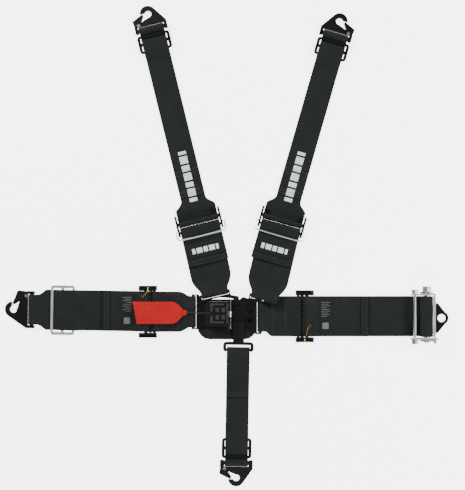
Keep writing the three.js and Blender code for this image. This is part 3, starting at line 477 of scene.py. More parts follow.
def added(tree, kind, values=None):
    """A new shader node with some of its inputs set."""
    node = tree.nodes.new("ShaderNode" + kind)
    for name, value in (values or {}).items():
        node.inputs[name].default_value = value
    return node


def texture(tree, kind, place, values, bands=None):
    """A wave or noise texture read at a place; gives its value."""
    node = added(tree, kind, values)
    if bands:
        node.bands_direction = bands
    tree.links.new(place, node.inputs["Vector"])
    return node.outputs["Fac"]


def maths(tree, operation, *values):
    """A sum or product of sockets and numbers."""
    node = added(tree, "Math")
    node.operation = operation
    for socket, value in zip(node.inputs, values):
        if isinstance(value, (int, float)):
            socket.default_value = value
        else:
            tree.links.new(value, socket)
    return node.outputs[0]


def blended(tree, factor, low, high):
    """A colour between two, by a value from 0 to 1."""
    mix = added(tree, "Mix")
    mix.data_type = "RGBA"
    mix.inputs["A"].default_value = colour4(low)
    mix.inputs["B"].default_value = colour4(high)
    tree.links.new(factor, mix.inputs["Factor"])
    return mix.outputs["Result"]


def add_bump(tree, height, distance, strength):
    bump = added(tree, "Bump", {"Distance": distance, "Strength": strength})
    tree.links.new(height, bump.inputs["Height"])
    tree.links.new(bump.outputs["Normal"], tree.nodes["Principled BSDF"].inputs["Normal"])


def turned_place(tree, degrees):
    """Object coordinates turned so that x runs along a belt at this angle."""
    place = added(tree, "TexCoord")
    turned = added(tree, "Mapping", {"Rotation": (0, 0, -math.radians(degrees))})
    tree.links.new(place.outputs["Object"], turned.inputs["Vector"])
    return turned.outputs["Vector"]


def new_group(name, entries, results):
    """An empty node group with these inputs and float outputs."""
    tree = bpy.data.node_groups.new(name, "ShaderNodeTree")
    for result in results:
        tree.interface.new_socket(name=result, in_out="OUTPUT", socket_type="NodeSocketFloat")
    for entry, kind in entries:
        tree.interface.new_socket(name=entry, in_out="INPUT", socket_type=kind)
    return tree, tree.nodes.new("NodeGroupInput"), tree.nodes.new("NodeGroupOutput")


def weave_group():
    """Height and shade of webbing: ribs along the belt, crossed by finer picks and a twill. The shade is a
    random tone plus painted shade, paler on raised threads and darker in the grooves.
    """
    tree, entry, leave = new_group(
        "webbing_weave", [("Place", "NodeSocketVector")], ["Height", "Shade"]
    )
    place = entry.outputs["Place"]
    ribs = texture(tree, "TexWave", place, {"Scale": 95, "Distortion": 0.6, "Detail": 1}, "Y")
    picks = texture(tree, "TexWave", place, {"Scale": 210, "Distortion": 0.4}, "X")
    twill = texture(tree, "TexWave", place, {"Scale": 60}, "DIAGONAL")
    cloud = texture(tree, "TexNoise", place, {"Scale": 35, "Detail": 4})
    raised = maths(tree, "MULTIPLY_ADD", twill, 0.35, maths(tree, "MULTIPLY", ribs, picks))
    # Random tone from the noise, plus painted shade: raised threads are painted paler and the grooves
    # between them darker.
    shade = maths(tree, "MULTIPLY_ADD", cloud, 0.6, maths(tree, "MULTIPLY", raised, 0.4))
    tree.links.new(raised, leave.inputs["Height"])
    tree.links.new(shade, leave.inputs["Shade"])


def wear_group():
    """Fine roughness and a faint bump of a coated or plated metal."""
    tree, entry, leave = new_group(
        "metal_wear",
        [("Dull", "NodeSocketFloat"), ("Spread", "NodeSocketFloat")],
        ["Roughness", "Height"],
    )
    place = added(tree, "TexCoord").outputs["Object"]
    smudge = texture(tree, "TexNoise", place, {"Scale": 60, "Detail": 6})
    grain = texture(tree, "TexNoise", place, {"Scale": 900, "Detail": 2})
    rough = maths(tree, "MULTIPLY_ADD", smudge, entry.outputs["Spread"], entry.outputs["Dull"])
    tree.links.new(rough, leave.inputs["Roughness"])
    tree.links.new(grain, leave.inputs["Height"])


def cloth_material(name, rgb, degrees=0.0, sheen=0.04, light=1.9, depth=0.00025, gloss=0.18):
    """Woven cloth whose ribs run along a belt at this angle, with painted shade in its weave."""
    material, tree = new_material(name)
    shader = tree.nodes["Principled BSDF"]
    shader.inputs["Roughness"].default_value = 0.78
    shader.inputs["Specular IOR Level"].default_value = gloss
    shader.inputs["Sheen Weight"].default_value = sheen
    shader.inputs["Sheen Roughness"].default_value = 0.45
    weave = added(tree, "Group")
    weave.node_tree = bpy.data.node_groups["webbing_weave"]
    tree.links.new(turned_place(tree, degrees), weave.inputs["Place"])
    # Painted shade: the weave's raised threads take the pale colour and its grooves the dark one, on top
    # of a random tone.
    dark = [c * 0.55 for c in rgb]
    pale = [min(1, c * light) for c in rgb]
    tree.links.new(blended(tree, weave.outputs["Shade"], dark, pale), shader.inputs["Base Color"])
    add_bump(tree, weave.outputs["Height"], depth, 0.8)
    return material


def metal_material(name, rgb, dull, spread, metallic=1.0, coat=0.0):
    """Metal with smudges in its gloss and a fine grain."""
    material, tree = new_material(name)
    shader = tree.nodes["Principled BSDF"]
    shader.inputs["Base Color"].default_value = colour4(rgb)
    shader.inputs["Metallic"].default_value = metallic
    shader.inputs["Specular IOR Level"].default_value = 0.4
    shader.inputs["Coat Weight"].default_value = coat
    shader.inputs["Coat Roughness"].default_value = 0.12
    wear = added(tree, "Group")
    wear.node_tree = bpy.data.node_groups["metal_wear"]
    wear.inputs["Dull"].default_value = dull
    wear.inputs["Spread"].default_value = spread
    tree.links.new(wear.outputs["Roughness"], shader.inputs["Roughness"])
    add_bump(tree, wear.outputs["Height"], 0.02 * MM, 0.5)
    return material


def knurled_material(name, rgb, degrees):
    """Black metal with a knurl cut along a bar that lies across a belt at this angle."""
    material = metal_material(name, rgb, 0.28, 0.2, metallic=0.4)
    tree = material.node_tree
    along = turned_place(tree, degrees)
    cuts = []
    for lean in (1, -1):
        flip = added(tree, "Mapping", {"Scale": (lean, 1, 1)})
        tree.links.new(along, flip.inputs["Vector"])
        cuts.append(texture(tree, "TexWave", flip.outputs["Vector"], {"Scale": 130}, "DIAGONAL"))
    add_bump(tree, maths(tree, "MULTIPLY", *cuts), 0.4 * MM, 1)
    return material


def plain_material(name, rgb, roughness):
    """Thread or printed ink with a little unevenness."""
    material, tree = new_material(name)
    shader = tree.nodes["Principled BSDF"]
    shader.inputs["Roughness"].default_value = roughness
    place = added(tree, "TexCoord").outputs["Object"]
    speckle = texture(tree, "TexNoise", place, {"Scale": 700})
    pale = blended(tree, speckle, [c * 0.7 for c in rgb], rgb)
    tree.links.new(pale, shader.inputs["Base Color"])
    return material


def webbing_for(degrees):
    """The belts' cloth with its ribs along this direction, made once for each direction."""
    name = f"webbing_{degrees % 180:.0f}"
    found = bpy.data.materials.get("finish_" + name)
    rgb = bpy.context.scene.harness_webbing.colour
    return found or cloth_material(name, rgb, degrees)


# ---------- belts ----------
def strap_area(line, stations, width):
    """The flat area of a strap whose width changes along s."""
    width_at = widening(stations) if stations else (lambda s: width)
    total = 0
    for start, end in zip(line, line[1:]):
        total += math.dist(start, end) * (width_at(start[0]) + width_at(end[0])) / 2
    return total


def make_strap(node, body, belt, line, width, stations=(), skews=()):
    """A strap of webbing that stands for its CAD node."""
    piece = strap(node + "_cloth", belt, line, width, stations=stations, skews=skews)
    piece.data.materials.append(webbing_for(math.degrees(belt.turn)))
    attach(piece, body)
    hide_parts(node)
    area = strap_area(refined(line, stations), stations, width)


def trim(piece, body):
    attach(piece, body)
    return piece


def seam(name, belt, body, rows, z):
    """Rows of stitches across or along a belt, each from (s, u) to (s, u)."""
    thread = bpy.data.materials["finish_black_thread"]
    lines = [stitch_row(belt, (*a, z), (*b, z), thread) for a, b in rows]
    return trim(joined(name, lines), body)


def boxed(s0, s1, half):
    """The rows of a sewn box with a cross in it."""
    return [
        ((s0, -half), (s0, half)),
        ((s1, -half), (s1, half)),
        ((s0, -half), (s1, -half)),
        ((s0, half), (s1, half)),
        ((s0, -half), (s1, half)),
        ((s0, half), (s1, -half)),
    ]




class HARNESS_OT_left_lap(bpy.types.Operator):
    """Left lap belt: both straps, the folded tail, seams and the sewn label"""

    bl_idname = "harness.left_lap"
    bl_label = "Left lap belt"

    def execute(self, context):
        wide = context.scene.harness_webbing.lap_width
        inner = double_eye(LATCH_EYE, LATCH_BAR_Z, LEFT_ADJUSTER_EYE, 24 * MM)
        narrow = [(97 * MM, 59 * MM), (116 * MM, wide)]
        make_strap("lap_left_inner_webbing", "lap_left_inner", LEFT_INNER, inner, wide, narrow)
        half = wide / 2
        top = LAYER_TOP + 0.1 * MM
        seam(
            "lap_left_inner_seam",
            LEFT_INNER,
            "lap_left_inner",
            boxed(115 * MM, 143 * MM, half - 6 * MM),
            top,
        )
        line = [
            *bar_turn(0, LEFT_TAIL),
            *hook_end(*LEFT_SLIDE, 209 * MM + HOOK_BAR),
        ]
        gathered = [(189 * MM, wide), (205 * MM, 56 * MM)]
        make_strap(
            "lap_left_outer_webbing",
            "lap_left_outer",
            LEFT_OUTER,
            line,
            wide,
            gathered,
            skews=[(-30 * MM, 34 * MM, -0.93)],
        )
        lap_trim("lap_left", LEFT_OUTER, LEFT_TAIL, wide)
        return {"FINISHED"}


class HARNESS_OT_right_lap(bpy.types.Operator):
    """Right lap belt: both straps up to the ratchet, the folded tail, seams and the sewn label"""

    bl_idname = "harness.right_lap"
    bl_label = "Right lap belt"

    def execute(self, context):
        wide = context.scene.harness_webbing.lap_width
        inner = double_eye(LINK_EYE, LINK_BAR_Z, RIGHT_ADJUSTER_EYE, 16 * MM)
        narrow = [(50 * MM, 58 * MM), (60 * MM, wide)]
        make_strap("lap_right_inner_webbing", "lap_right_inner", RIGHT_INNER, inner, wide, narrow)
        top = LAYER_TOP + 0.1 * MM
        half = wide / 2
        rows = [((s, 6 * MM - half), (s, half - 6 * MM)) for s in (60 * MM, 63 * MM, 84 * MM, 87 * MM)]
        seam("lap_right_inner_seam", RIGHT_INNER, "lap_right_inner", rows, top)
        line = [*bar_turn(0, RIGHT_TAIL), (212.5 * MM, FLOOR_LAYER), (SPOOL, 1.2 * MM)]
        make_strap("lap_right_outer_webbing", "lap_right_outer", RIGHT_OUTER, line, wide)
        lap_trim("lap_right", RIGHT_OUTER, RIGHT_TAIL, wide)
        return {"FINISHED"}


def lap_trim(name, belt, tail_end, wide):
    """The folded end of a lap belt's tail, its seam, and the woven label with blank lines."""
    half = wide / 2
    body = name + "_outer"
    cloth = webbing_for(math.degrees(belt.turn))
    fold_top = LAYER_TOP + FOLD_RISE
    fold = plate(
        name + "_tail_fold",
        belt,
        (tail_end - FOLD_LENGTH, -half, LAYER_TOP + 0.05 * MM),
        (tail_end, half, fold_top),
        cloth,
        edge=0.6 * MM,
    )
    trim(fold, body)
    rows = [((tail_end - s, 4 * MM - half), (tail_end - s, half - 4 * MM)) for s in (3 * MM, 10 * MM)]
    seam(name + "_tail_seam", belt, body, rows, fold_top + 0.1 * MM)
    start = LAP_LABEL_START
    label = plate(
        name + "_label",
        belt,
        (start, -half + 5 * MM, LAYER_TOP + 0.02 * MM),
        (start + LAP_LABEL_LENGTH, half - 5 * MM, LAYER_TOP + 0.45 * MM),
        bpy.data.materials["finish_label_cloth"],
        edge=0.15 * MM,
    )
    trim(label, body)
    ink = bpy.data.materials["finish_label_ink"]
    lines = []
    side = 1 if belt is RIGHT_OUTER else -1
    for i, share in enumerate(LABEL_LINES):
        u = side * (half - 12 * MM - i * 3.3 * MM)
        line = plate(
            f"{name}_line_{i}",
            belt,
            (start + 3 * MM, u - 0.45 * MM, LAYER_TOP + 0.42 * MM),
            (start + 3 * MM + 17 * MM * share, u + 0.45 * MM, LAYER_TOP + 0.56 * MM),
            ink,
            edge=0.04 * MM,
        )
        lines.append(line)
    block = plate(
        name + "_block",
        belt,
        (start + 5 * MM, -side * (half - 20 * MM) - 6 * MM, LAYER_TOP + 0.42 * MM),
        (start + 17 * MM, -side * (half - 20 * MM) + 6 * MM, LAYER_TOP + 0.56 * MM),
        ink,
        edge=0.04 * MM,
        corner=2 * MM,
    )
    trim(joined(name + "_label_lines", [*lines, block]), body)


class HARNESS_OT_shoulders(bpy.types.Operator):
    """Both shoulder belts: lower and upper straps, tails, patches, marks and seams"""

    bl_idname = "harness.shoulders"
    bl_label = "Shoulder belts"

    def execute(self, context):
        sizes = context.scene.harness_webbing
        for side, spec in SHOULDERS.items():
            shoulder_belt(side, spec, sizes.lap_width, sizes.shoulder_width)
        return {"FINISHED"}


def shoulder_belt(side, spec, wide, narrow):
    name = "shoulder_" + side
    lower, upper = spec["lower"], spec["upper"]
    eye_s = spec["reach"] + SHOULDER_EYE
    lean = math.degrees(lower.turn - upper.turn)
    inner = double_eye(0, spec["root_z"], eye_s, 30 * MM)
    taper = [(8 * MM, 51 * MM), (36 * MM, wide)]
    skew = [(eye_s - 19 * MM, eye_s + 20 * MM, lean)]
    make_strap(name + "_lower_webbing", name + "_lower", lower, inner, wide, taper, skews=skew)

    slide_outer = spec["hook_base"] - 3.5 * MM
    slide_inner = slide_outer - 33.6 * MM
    line = [
        *bar_turn(SHOULDER_SLIDER, 40 * MM)[2:],
        *hook_end(slide_inner, slide_outer, spec["hook_base"] + HOOK_BAR),
    ]
    flare = [(30 * MM, wide), (45 * MM, narrow)]
    make_strap(name + "_upper_webbing", name + "_upper", upper, line, wide, flare)

    over_eye = EYE_Z + EYE + HALF + CLEARANCE + HALF
    tail = [
        (-3.5 * MM, over_eye + 0.8 * MM),
        (-8 * MM, over_eye + 0.75 * MM),
        (SHOULDER_EYE, over_eye + 0.3 * MM),
        (SHOULDER_EYE - 6 * MM, over_eye - 2 * MM),
        (SHOULDER_EYE - 11.5 * MM, over_eye - 3.9 * MM),
        (SHOULDER_EYE - 23.5 * MM, TAIL_LAYER),
        (SHOULDER_TAIL, TAIL_LAYER),
    ]
    make_strap(name + "_tail", name + "_lower", upper, tail, wide)
    shoulder_trim(name, upper, wide, narrow)


def shoulder_trim(name, upper, wide, narrow):
    """What is sewn on a shoulder belt: the tail's fold and patch, the doubling and the white stripes."""
    half = wide / 2
    body, top_body = name + "_lower", name + "_upper"
    cloth = webbing_for(math.degrees(upper.turn))
    tail_top = TAIL_LAYER + HALF
    fold = plate(
        name + "_tail_fold",
        upper,
        (SHOULDER_TAIL, -half, tail_top + 0.05 * MM),
        (SHOULDER_TAIL + 12 * MM, half, tail_top + 1.7 * MM),
        cloth,
        edge=0.6 * MM,
    )
    trim(fold, body)
    rows = [((s, 4 * MM - half), (s, half - 4 * MM)) for s in (-76.5 * MM, -70 * MM)]
    seam(name + "_tail_seam", upper, body, rows, tail_top + 1.75 * MM)
    patch = plate(
        name + "_patch",
        upper,
        (-63 * MM, -half + 5 * MM, tail_top + 0.02 * MM),
        (-38 * MM, half - 5 * MM, tail_top + 0.5 * MM),
        bpy.data.materials["finish_label_cloth"],
        edge=0.15 * MM,
        corner=1.5 * MM,
    )
    trim(patch, body)
    ink = bpy.data.materials["finish_white_ink"]
    stripes = []
    start = -25.5 * MM
    for i, run in enumerate(PATCH_BLOCKS):
        stripe = plate(
            f"{name}_patch_stripe_{i}",
            upper,
            (-57 * MM, start, tail_top + 0.47 * MM),
            (-47 * MM, start + run * MM, tail_top + 0.62 * MM),
            ink,
            edge=0.05 * MM,
        )
        stripes.append(stripe)
        start += (run + 2.5) * MM
    badge = plate(
        name + "_badge",
        upper,
        (-34 * MM, -5.5 * MM, tail_top),
        (-26 * MM, 5.5 * MM, tail_top + 0.15 * MM),
        ink,
        edge=0.05 * MM,
        corner=2.5 * MM,
    )
    stripes.append(badge)
    trim(joined(name + "_patch_stripes", stripes), body)

    floor_top = FLOOR_LAYER + HALF
    doubling = plate(
        name + "_doubling",
        upper,
        (DOUBLING[0], -narrow / 2 + 0.4 * MM, floor_top + 0.02 * MM),
        (DOUBLING[1], narrow / 2 - 0.4 * MM, floor_top + 1.5 * MM),
        cloth,
        edge=0.5 * MM,
    )
    trim(doubling, top_body)
    edge = narrow / 2 - 4 * MM
    sewn = boxed(53 * MM, 62 * MM, edge) + boxed(92 * MM, 101 * MM, edge)
    seam(name + "_doubling_seam", upper, top_body, sewn, floor_top + 1.6 * MM)
    marks = []
    s = 40 * MM
    for i, run in enumerate(BELT_BLOCKS):
        on_doubling = DOUBLING[0] < s < DOUBLING[1] - 4 * MM
        z = floor_top + (1.48 * MM if on_doubling else -0.02 * MM)
        mark = plate(
            f"{name}_mark_{i}",
            upper,
            (s, -7.5 * MM, z),
            (s + run * MM, 7.5 * MM, z + 0.14 * MM),
            ink,
            edge=0.05 * MM,
        )
        marks.append(mark)
        s += (run + 3.6) * MM
    trim(joined(name + "_marks", marks), top_body)


class HARNESS_OT_crotch(bpy.types.Operator):
    """Crotch belt: the strap through its ring, slide and hook, with its seams"""

    bl_idname = "harness.crotch"
    bl_label = "Crotch belt"

    def execute(self, context):
        wide = context.scene.harness_webbing.crotch_width
        slide_outer = CROTCH_SLIDE_OUTER
        slide_inner = slide_outer - 38 * MM
        turn = inner_turn((17 * MM, TOP_LAYER), (0, 5.6 * MM), ROOT_EYE, (10 * MM, FLOOR_LAYER))
        line = [(90 * MM, TOP_LAYER), *turn, *hook_end(slide_inner, slide_outer, 207 * MM + HOOK_BAR)]
        make_strap("crotch_webbing", "crotch", CROTCH, line, wide)
        half = wide / 2 - 3 * MM
        rows = [((s, -half), (s, half)) for s in (81 * MM, 86 * MM)]
        seam("crotch_seam", CROTCH, "crotch", rows, LAYER_TOP + 0.1 * MM)
        return {"FINISHED"}


# ---------- pad, pull tab and cord ----------
class HARNESS_OT_pad(bpy.types.Operator):
    """Buckle pad: a soft cushion with rounded corners and edges"""

    bl_idname = "harness.pad"
    bl_label = "Buckle pad"

    def execute(self, context):
        sizes = context.scene.harness_pad
        low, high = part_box("buckle_pad")
        size = high - low
        start_clean()
        bpy.ops.mesh.primitive_cube_add(size=1, location=(low + high) / 2)
        piece = context.active_object
        piece.name = "buckle_pad_cushion"
        piece.scale = (size.x, size.y, sizes.thickness)
        bpy.ops.object.transform_apply(location=True, rotation=True, scale=True)
        for below, radius in ((True, sizes.corner), (False, PAD_UPPER_CORNER)):
            round_corners(piece, below, radius, low, high)
        apply_modifier(
            piece,
            "BEVEL",
            width=1.5 * MM,
            segments=4,
            limit_method="ANGLE",
            angle_limit=math.radians(60),
        )
        bpy.ops.object.shade_smooth_by_angle(angle=math.radians(50))
        piece.data.materials.append(bpy.data.materials["finish_pad_cloth"])
        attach(piece, "buckle")
        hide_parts("buckle_pad")
        return {"FINISHED"}


def round_corners(piece, below, radius, low, high):
    """Rounds the pad's two upright edges below or above its middle."""
    middle = (low.y + high.y) / 2
    bpy.ops.object.mode_set(mode="EDIT")
    bpy.ops.mesh.select_mode(type="EDGE")
    bpy.ops.mesh.select_all(action="DESELECT")
    bpy.ops.object.mode_set(mode="OBJECT")
    points = piece.data.vertices
    for side in piece.data.edges:
        a, b = (points[i].co for i in side.vertices)
        upright = abs(a.z - b.z) > 1 * MM and abs(a.x - b.x) < 1e-6 and abs(a.y - b.y) < 1e-6
        outer = abs(a.y - (low.y if below else high.y)) < 1e-5
        side.select = upright and outer and (a.y < middle) == below
    bpy.ops.object.mode_set(mode="EDIT")
    bpy.ops.mesh.bevel(offset=radius, segments=12)
    bpy.ops.object.mode_set(mode="OBJECT")


class HARNESS_OT_pull_tab(bpy.types.Operator):
    """Red pull tab on its cord, with the ferrule between them"""

    bl_idname = "harness.pull_tab"
    bl_label = "Pull tab"

    def execute(self, context):
        y = 1 * MM
        along = Belt(0, y, 180)
        high = SLIDER_Z + WRAP + HALF + CLEARANCE + TAB_THICKNESS / 2 + 0.4 * MM
        line = [
            (106.5 * MM, 8 * MM),
            (112 * MM, 8 * MM),
            (116 * MM, 8 * MM),
            (122 * MM, 8.8 * MM),
            (142 * MM, high - 0.8 * MM),
            (148 * MM, high),
            (190 * MM, high),
            (197.5 * MM, high),
        ]
        shape = [(106 * MM, 9 * MM), (128 * MM, TAB_WIDTH)]
        red = bpy.data.materials["finish_red_webbing"]
        slant = [(189 * MM, 198 * MM, -11)]
        piece = strap("pull_tab_ribbon", along, line, TAB_WIDTH, TAB_THICKNESS, shape, slant)
        piece.data.materials.append(red)
        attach(piece, "pull")
        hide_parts("pull_tab")
        area = strap_area(refined(line, shape), shape, TAB_WIDTH)
        half = 16 * MM
        rows = [((152 * MM, -half), (152 * MM, half)), ((192 * MM, -half), (192 * MM, half))]
        rows += [((152 * MM, u), (192 * MM, u)) for u in (-half, half)]
        thread = bpy.data.materials["finish_red_thread"]
        top = high + 0.9 * MM
        lines = [stitch_row(along, (*a, top), (*b, top), thread) for a, b in rows]
        trim(joined("pull_tab_stitches", lines), "pull")

        start_clean()
        bpy.ops.mesh.primitive_uv_sphere_add(
            segments=24, ring_count=16, radius=4.6 * MM, location=(-104.5 * MM, y, 8.4 * MM)
        )
        ferrule = context.active_object
        ferrule.name = "pull_tab_ferrule"
        ferrule.scale = (1.25, 1.15, 0.8)
        bpy.ops.object.transform_apply(location=True, rotation=True, scale=True)
        bpy.ops.object.shade_smooth()
        ferrule.data.materials.append(red)
        trim(ferrule, "pull")
        cord_piece(y)
        return {"FINISHED"}


def cord_piece(y):
    """The braided cord from the lever's top to the tab's ferrule."""
    top = 23.4 * MM
    route = [
        (-56 * MM, y, top),
        (-64 * MM, y, top),
        (-70 * MM, y, top - 1.5 * MM),
        (-82 * MM, y, 17 * MM),
        (-94 * MM, y, 12.4 * MM),
        (-105 * MM, y, 10 * MM),
    ]
    start_clean()
    bpy.ops.curve.primitive_nurbs_path_add(location=(0, 0, 0))
    cord = bpy.context.active_object
    cord.name = "pull_cord_braid"
    data = cord.data
    data.splines.clear()
    spline = data.splines.new("BEZIER")
    spline.bezier_points.add(len(route) - 1)
    for point, place in zip(spline.bezier_points, route):
        point.co = place
        point.handle_left_type = point.handle_right_type = "AUTO"
    data.bevel_depth = CORD_DIAMETER / 2
    data.bevel_resolution = 4
    data.resolution_u = 8
    data.use_fill_caps = True
    data.materials.append(bpy.data.materials["finish_black_cord"])
    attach(cord, "pull")
    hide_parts("pull_cord")


# ---------- labels' and metals' finishes ----------
class HARNESS_OT_finishes(bpy.types.Operator):
    """Materials for the webbing, threads, labels and metal parts"""

    bl_idname = "harness.finishes"
    bl_label = "Finishes"

    def execute(self, context):
        weave_group()
        wear_group()
        scene = context.scene
        red = scene.harness_tab.colour
        black = scene.harness_webbing.colour
        cloth_material("red_webbing", red, 180, sheen=0.05, light=1.3, depth=0.0002, gloss=0.25)
        cloth_material("black_cord", black, 45, light=1.8, depth=0.0003, gloss=0.4)
        cloth_material("pad_cloth", [c * 0.9 for c in black], 45, light=1.6)
        cloth_material("label_cloth", [c * 1.2 for c in black], 0, light=1.3, depth=0.0001)
        plain_material("black_thread", [c * 2.2 for c in black], 0.6)
        plain_material("red_thread", [min(1, c * 0.7) for c in red], 0.6)
        plain_material("label_ink", (0.11, 0.11, 0.115), 0.7)
        plain_material("white_ink", (0.74, 0.75, 0.76), 0.65)
        metal_material("black_metal", (0.0040, 0.0044, 0.0050), 0.2, 0.16, metallic=0.2, coat=0.25)
        metal_material("black_shell", (0.0045, 0.0050, 0.0056), 0.24, 0.16, metallic=0.1, coat=0.25)
        # Painted highlight: the lever's raised bars have the same black coating as its shell, and this
        # paler grey stands in for the light they catch.
        metal_material("raised_shell", (0.035, 0.037, 0.039), 0.3, 0.12, metallic=0.3)
        metal_material("chrome", (0.90, 0.91, 0.93), 0.34, 0.14)
        metal_material("bright_steel", (0.63, 0.64, 0.66), 0.14, 0.2)
        metal_material("zinc_steel", (0.56, 0.56, 0.53), 0.22, 0.26)
        metal_material("yellow_wire", (0.55, 0.38, 0.10), 0.2, 0.2)
        for node, name in METALS.items():
            for piece in named(node):
                dress(piece, bpy.data.materials["finish_" + name])
        for node, belt in KNURLED.items():
            angle = math.degrees(belt.turn)
            made = knurled_material(node + "_knurl", (0.012, 0.0125, 0.014), angle)
            dress(bpy.data.objects[node], made)
        wound = bpy.data.objects["ratchet_wound_webbing"]
        dress(wound, webbing_for(90), edge=0.0)
        return {"FINISHED"}


METALS = {
    "latch_base": "black_metal",
    "latch_lever": "black_shell",
    "latch_lever_pin": "bright_steel",
    "latch_spring": "bright_steel",
    "link_plate": "black_metal",
    "tongue": "black_metal",
    "adjuster_frame": "black_metal",
    "slide": "black_metal",
    "lap_left_slide": "chrome",
    "hook": "black_metal",
    "keeper": "black_metal",
    "keeper_rivet": "bright_steel",
    "bail": "chrome",
    "bar_spring": "yellow_wire",
    "ratchet_frame": "chrome",
    "ratchet_spool": "zinc_steel",
    "ratchet_wheel_upper": "zinc_steel",
    "ratchet_wheel_lower": "zinc_steel",
    "ratchet_pawl": "zinc_steel",
    "ratchet_pawl_spring": "bright_steel",
    "ratchet_tie_bolt": "zinc_steel",
    "ratchet_tie_nut": "zinc_steel",
    "ratchet_eye_tab": "black_metal",
}
KNURLED = {
    "lap_left_adjuster_bar": LEFT_OUTER,
    "lap_right_adjuster_bar": RIGHT_OUTER,
    "shoulder_left_adjuster_bar": SHOULDERS["left"]["upper"],
    "shoulder_right_adjuster_bar": SHOULDERS["right"]["upper"],
}


def named(ending):
    """The CAD nodes with this name, or with a belt's name before it."""
    nodes = [o for o in bpy.data.objects if o.type == "MESH" and o.name in CAD_NAMES]
    exact = [o for o in nodes if o.name == ending]
    return exact or [o for o in nodes if o.name.endswith("_" + ending)]


def dress(piece, material, edge=0.35 * MM):
    """Gives a CAD node its material, and breaks its sharp edges."""
    piece.data.materials.clear()
    piece.data.materials.append(material)
    if edge and "worn_edges" not in piece.modifiers:
        bevel = piece.modifiers.new("worn_edges", "BEVEL")
        bevel.width = edge
        bevel.segments = 2
        bevel.limit_method = "ANGLE"
        bevel.angle_limit = math.radians(35)
        bevel.harden_normals = True


class HARNESS_OT_middle_bars(bpy.types.Operator):
    """The bar between the two eyes of each lap adjuster's frame"""

    bl_idname = "harness.middle_bars"
    bl_label = "Adjuster middle bars"

    def execute(self, context):
        half = context.scene.harness_webbing.lap_width / 2 + 1.6 * MM
        for side, belt in (("left", LEFT_OUTER), ("right", RIGHT_OUTER)):
            black = bpy.data.materials["finish_black_metal"]
            name = f"lap_{side}_middle_bar"
            low, high = (-10.1 * MM, -half, 0.7 * MM), (-7.2 * MM, half, 7 * MM)
            web = plate(name, belt, low, high, black, edge=0.5 * MM)
            low, high = (-12.2 * MM, -half, 0.25 * MM), (-5.0 * MM, half, 0.95 * MM)
            foot = plate(name + "_foot", belt, low, high, black, edge=0.2 * MM)
            trim(joined(name, [web, foot]), f"lap_{side}_inner")
        return {"FINISHED"}


# Raised bars and squares on the lever: (x, y) of two corners, in millimetres.
RAISED = (
    ((-56, 4), (-51, 19)),
    ((-56, -18), (-51, -4)),
    ((-51, 15.5), (-30, 19)),
    ((-51, -18), (-30, -14.5)),
    ((-46, 3), (-39, 11)),
    ((-46, -11), (-39, -3)),
    ((-35, 3), (-28, 11)),
    ((-35, -11), (-28, -3)),
    ((-25.5, -18), (-22.5, 19)),
)


class HARNESS_OT_lever_print(bpy.types.Operator):
    """Raised bars and squares on the latch lever, in a paler grey that is a painted highlight"""

    bl_idname = "harness.lever_print"
    bl_label = "Lever emboss"

    def execute(self, context):
        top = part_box("latch_lever")[1].z
        # Painted highlight: the raised bars get a paler grey than the lever's black shell.
        shell = bpy.data.materials["finish_raised_shell"]
        flat = Belt(0, 0, 0)
        rails = []
        for i, (start, end) in enumerate(RAISED):
            rail = plate(
                f"lever_rail_{i}",
                flat,
                (start[0] * MM, start[1] * MM, top - 0.3 * MM),
                (end[0] * MM, end[1] * MM, top + 0.5 * MM),
                shell,
                edge=0.25 * MM,
            )
            rails.append(rail)
        trim(joined("latch_lever_emboss", rails), "latch_lever")
        return {"FINISHED"}


# ---------- stage ----------
VIEW_CENTRE = (-14.1 * MM, 128.2 * MM, 0)
CAMERA_HEIGHT = 2567 * MM
# Each light's name, place, size and power. None hangs where flat metal would mirror it upwards.
LIGHTS = (
    ("key_light", (-1.7, 1.9, 1.7), 1.0, 120),
    ("fill_light", (2.1, 0.4, 1.5), 0.9, 66),
    ("low_light", (0.1, -2.1, 1.4), 0.8, 50),
)


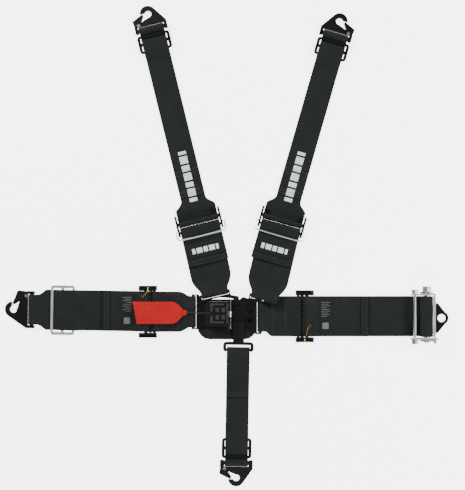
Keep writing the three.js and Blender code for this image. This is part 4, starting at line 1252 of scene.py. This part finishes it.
class HARNESS_OT_stage(bpy.types.Operator):
    """Pale floor, soft lights and the camera straight above"""

    bl_idname = "harness.stage"
    bl_label = "Stage"

    def execute(self, context):
        centre = Vector(VIEW_CENTRE)
        start_clean()
        bpy.ops.mesh.primitive_plane_add(size=12, location=(centre.x, centre.y, -0.4 * MM))
        floor = context.active_object
        floor.name = "stage_floor"
        material, tree = new_material("stage_floor")
        shader = tree.nodes["Principled BSDF"]
        shader.inputs["Roughness"].default_value = 0.9
        place = added(tree, "TexCoord").outputs["Object"]
        cloud = texture(tree, "TexNoise", place, {"Scale": 3})
        pale = blended(tree, cloud, (0.86, 0.86, 0.865), (0.90, 0.90, 0.90))
        tree.links.new(pale, shader.inputs["Base Color"])
        shader.inputs["Emission Color"].default_value = (1, 1, 1, 1)
        shader.inputs["Emission Strength"].default_value = 4
        floor.data.materials.append(material)

        for name, place, size, power in LIGHTS:
            bpy.ops.object.light_add(type="AREA", location=place)
            light = context.active_object
            light.name = name
            light.data.shape = "SQUARE"
            light.data.size = size
            light.data.energy = power
            aim = Vector(centre) - Vector(place)
            light.rotation_euler = aim.to_track_quat("-Z", "Y").to_euler()

        world = bpy.data.worlds.new("soft_white")
        context.scene.world = world
        world.use_nodes = True
        back = world.node_tree.nodes["Background"]
        back.inputs["Color"].default_value = (1, 1, 1, 1)
        back.inputs["Strength"].default_value = 0.2

        bpy.ops.object.camera_add(location=(centre.x, centre.y, CAMERA_HEIGHT), rotation=(0, 0, 0))
        camera = context.active_object
        camera.name = "main_camera"
        camera.data.lens = 100
        camera.data.sensor_width = 36
        camera.data.sensor_fit = "VERTICAL"
        camera.data.sensor_height = 36
        context.scene.camera = camera
        return {"FINISHED"}


# ---------- panel ----------
OPERATORS = (
    HARNESS_OT_finishes,
    HARNESS_OT_left_lap,
    HARNESS_OT_right_lap,
    HARNESS_OT_shoulders,
    HARNESS_OT_crotch,
    HARNESS_OT_pad,
    HARNESS_OT_pull_tab,
    HARNESS_OT_middle_bars,
    HARNESS_OT_lever_print,
    HARNESS_OT_stage,
)


class HARNESS_PT_panel(bpy.types.Panel):
    bl_idname = "HARNESS_PT_panel"
    bl_label = "Harness"
    bl_space_type = "VIEW_3D"
    bl_region_type = "UI"
    bl_category = "Harness"

    def draw(self, context):
        for group in GROUPS:
            values = getattr(context.scene, group)
            for prop in values.bl_rna.properties:
                if prop.identifier not in ("rna_type", "name"):
                    self.layout.prop(values, prop.identifier)
        for operator in OPERATORS:
            self.layout.operator(operator.bl_idname, text=operator.bl_label)


def register():
    for cls in (*GROUPS.values(), *OPERATORS, HARNESS_PT_panel):
        bpy.utils.register_class(cls)
    for name, cls in GROUPS.items():
        setattr(bpy.types.Scene, name, bpy.props.PointerProperty(type=cls))


def unregister():
    for name in GROUPS:
        delattr(bpy.types.Scene, name)
    for cls in (HARNESS_PT_panel, *OPERATORS, *GROUPS.values()):
        bpy.utils.unregister_class(cls)


def main():
    register()
    for operator in OPERATORS:
        group, name = operator.bl_idname.split(".")
        if getattr(getattr(bpy.ops, group), name)() != {"FINISHED"}:
            raise RuntimeError(operator.bl_label + " did not finish")


if __name__ == "__main__":
    main()
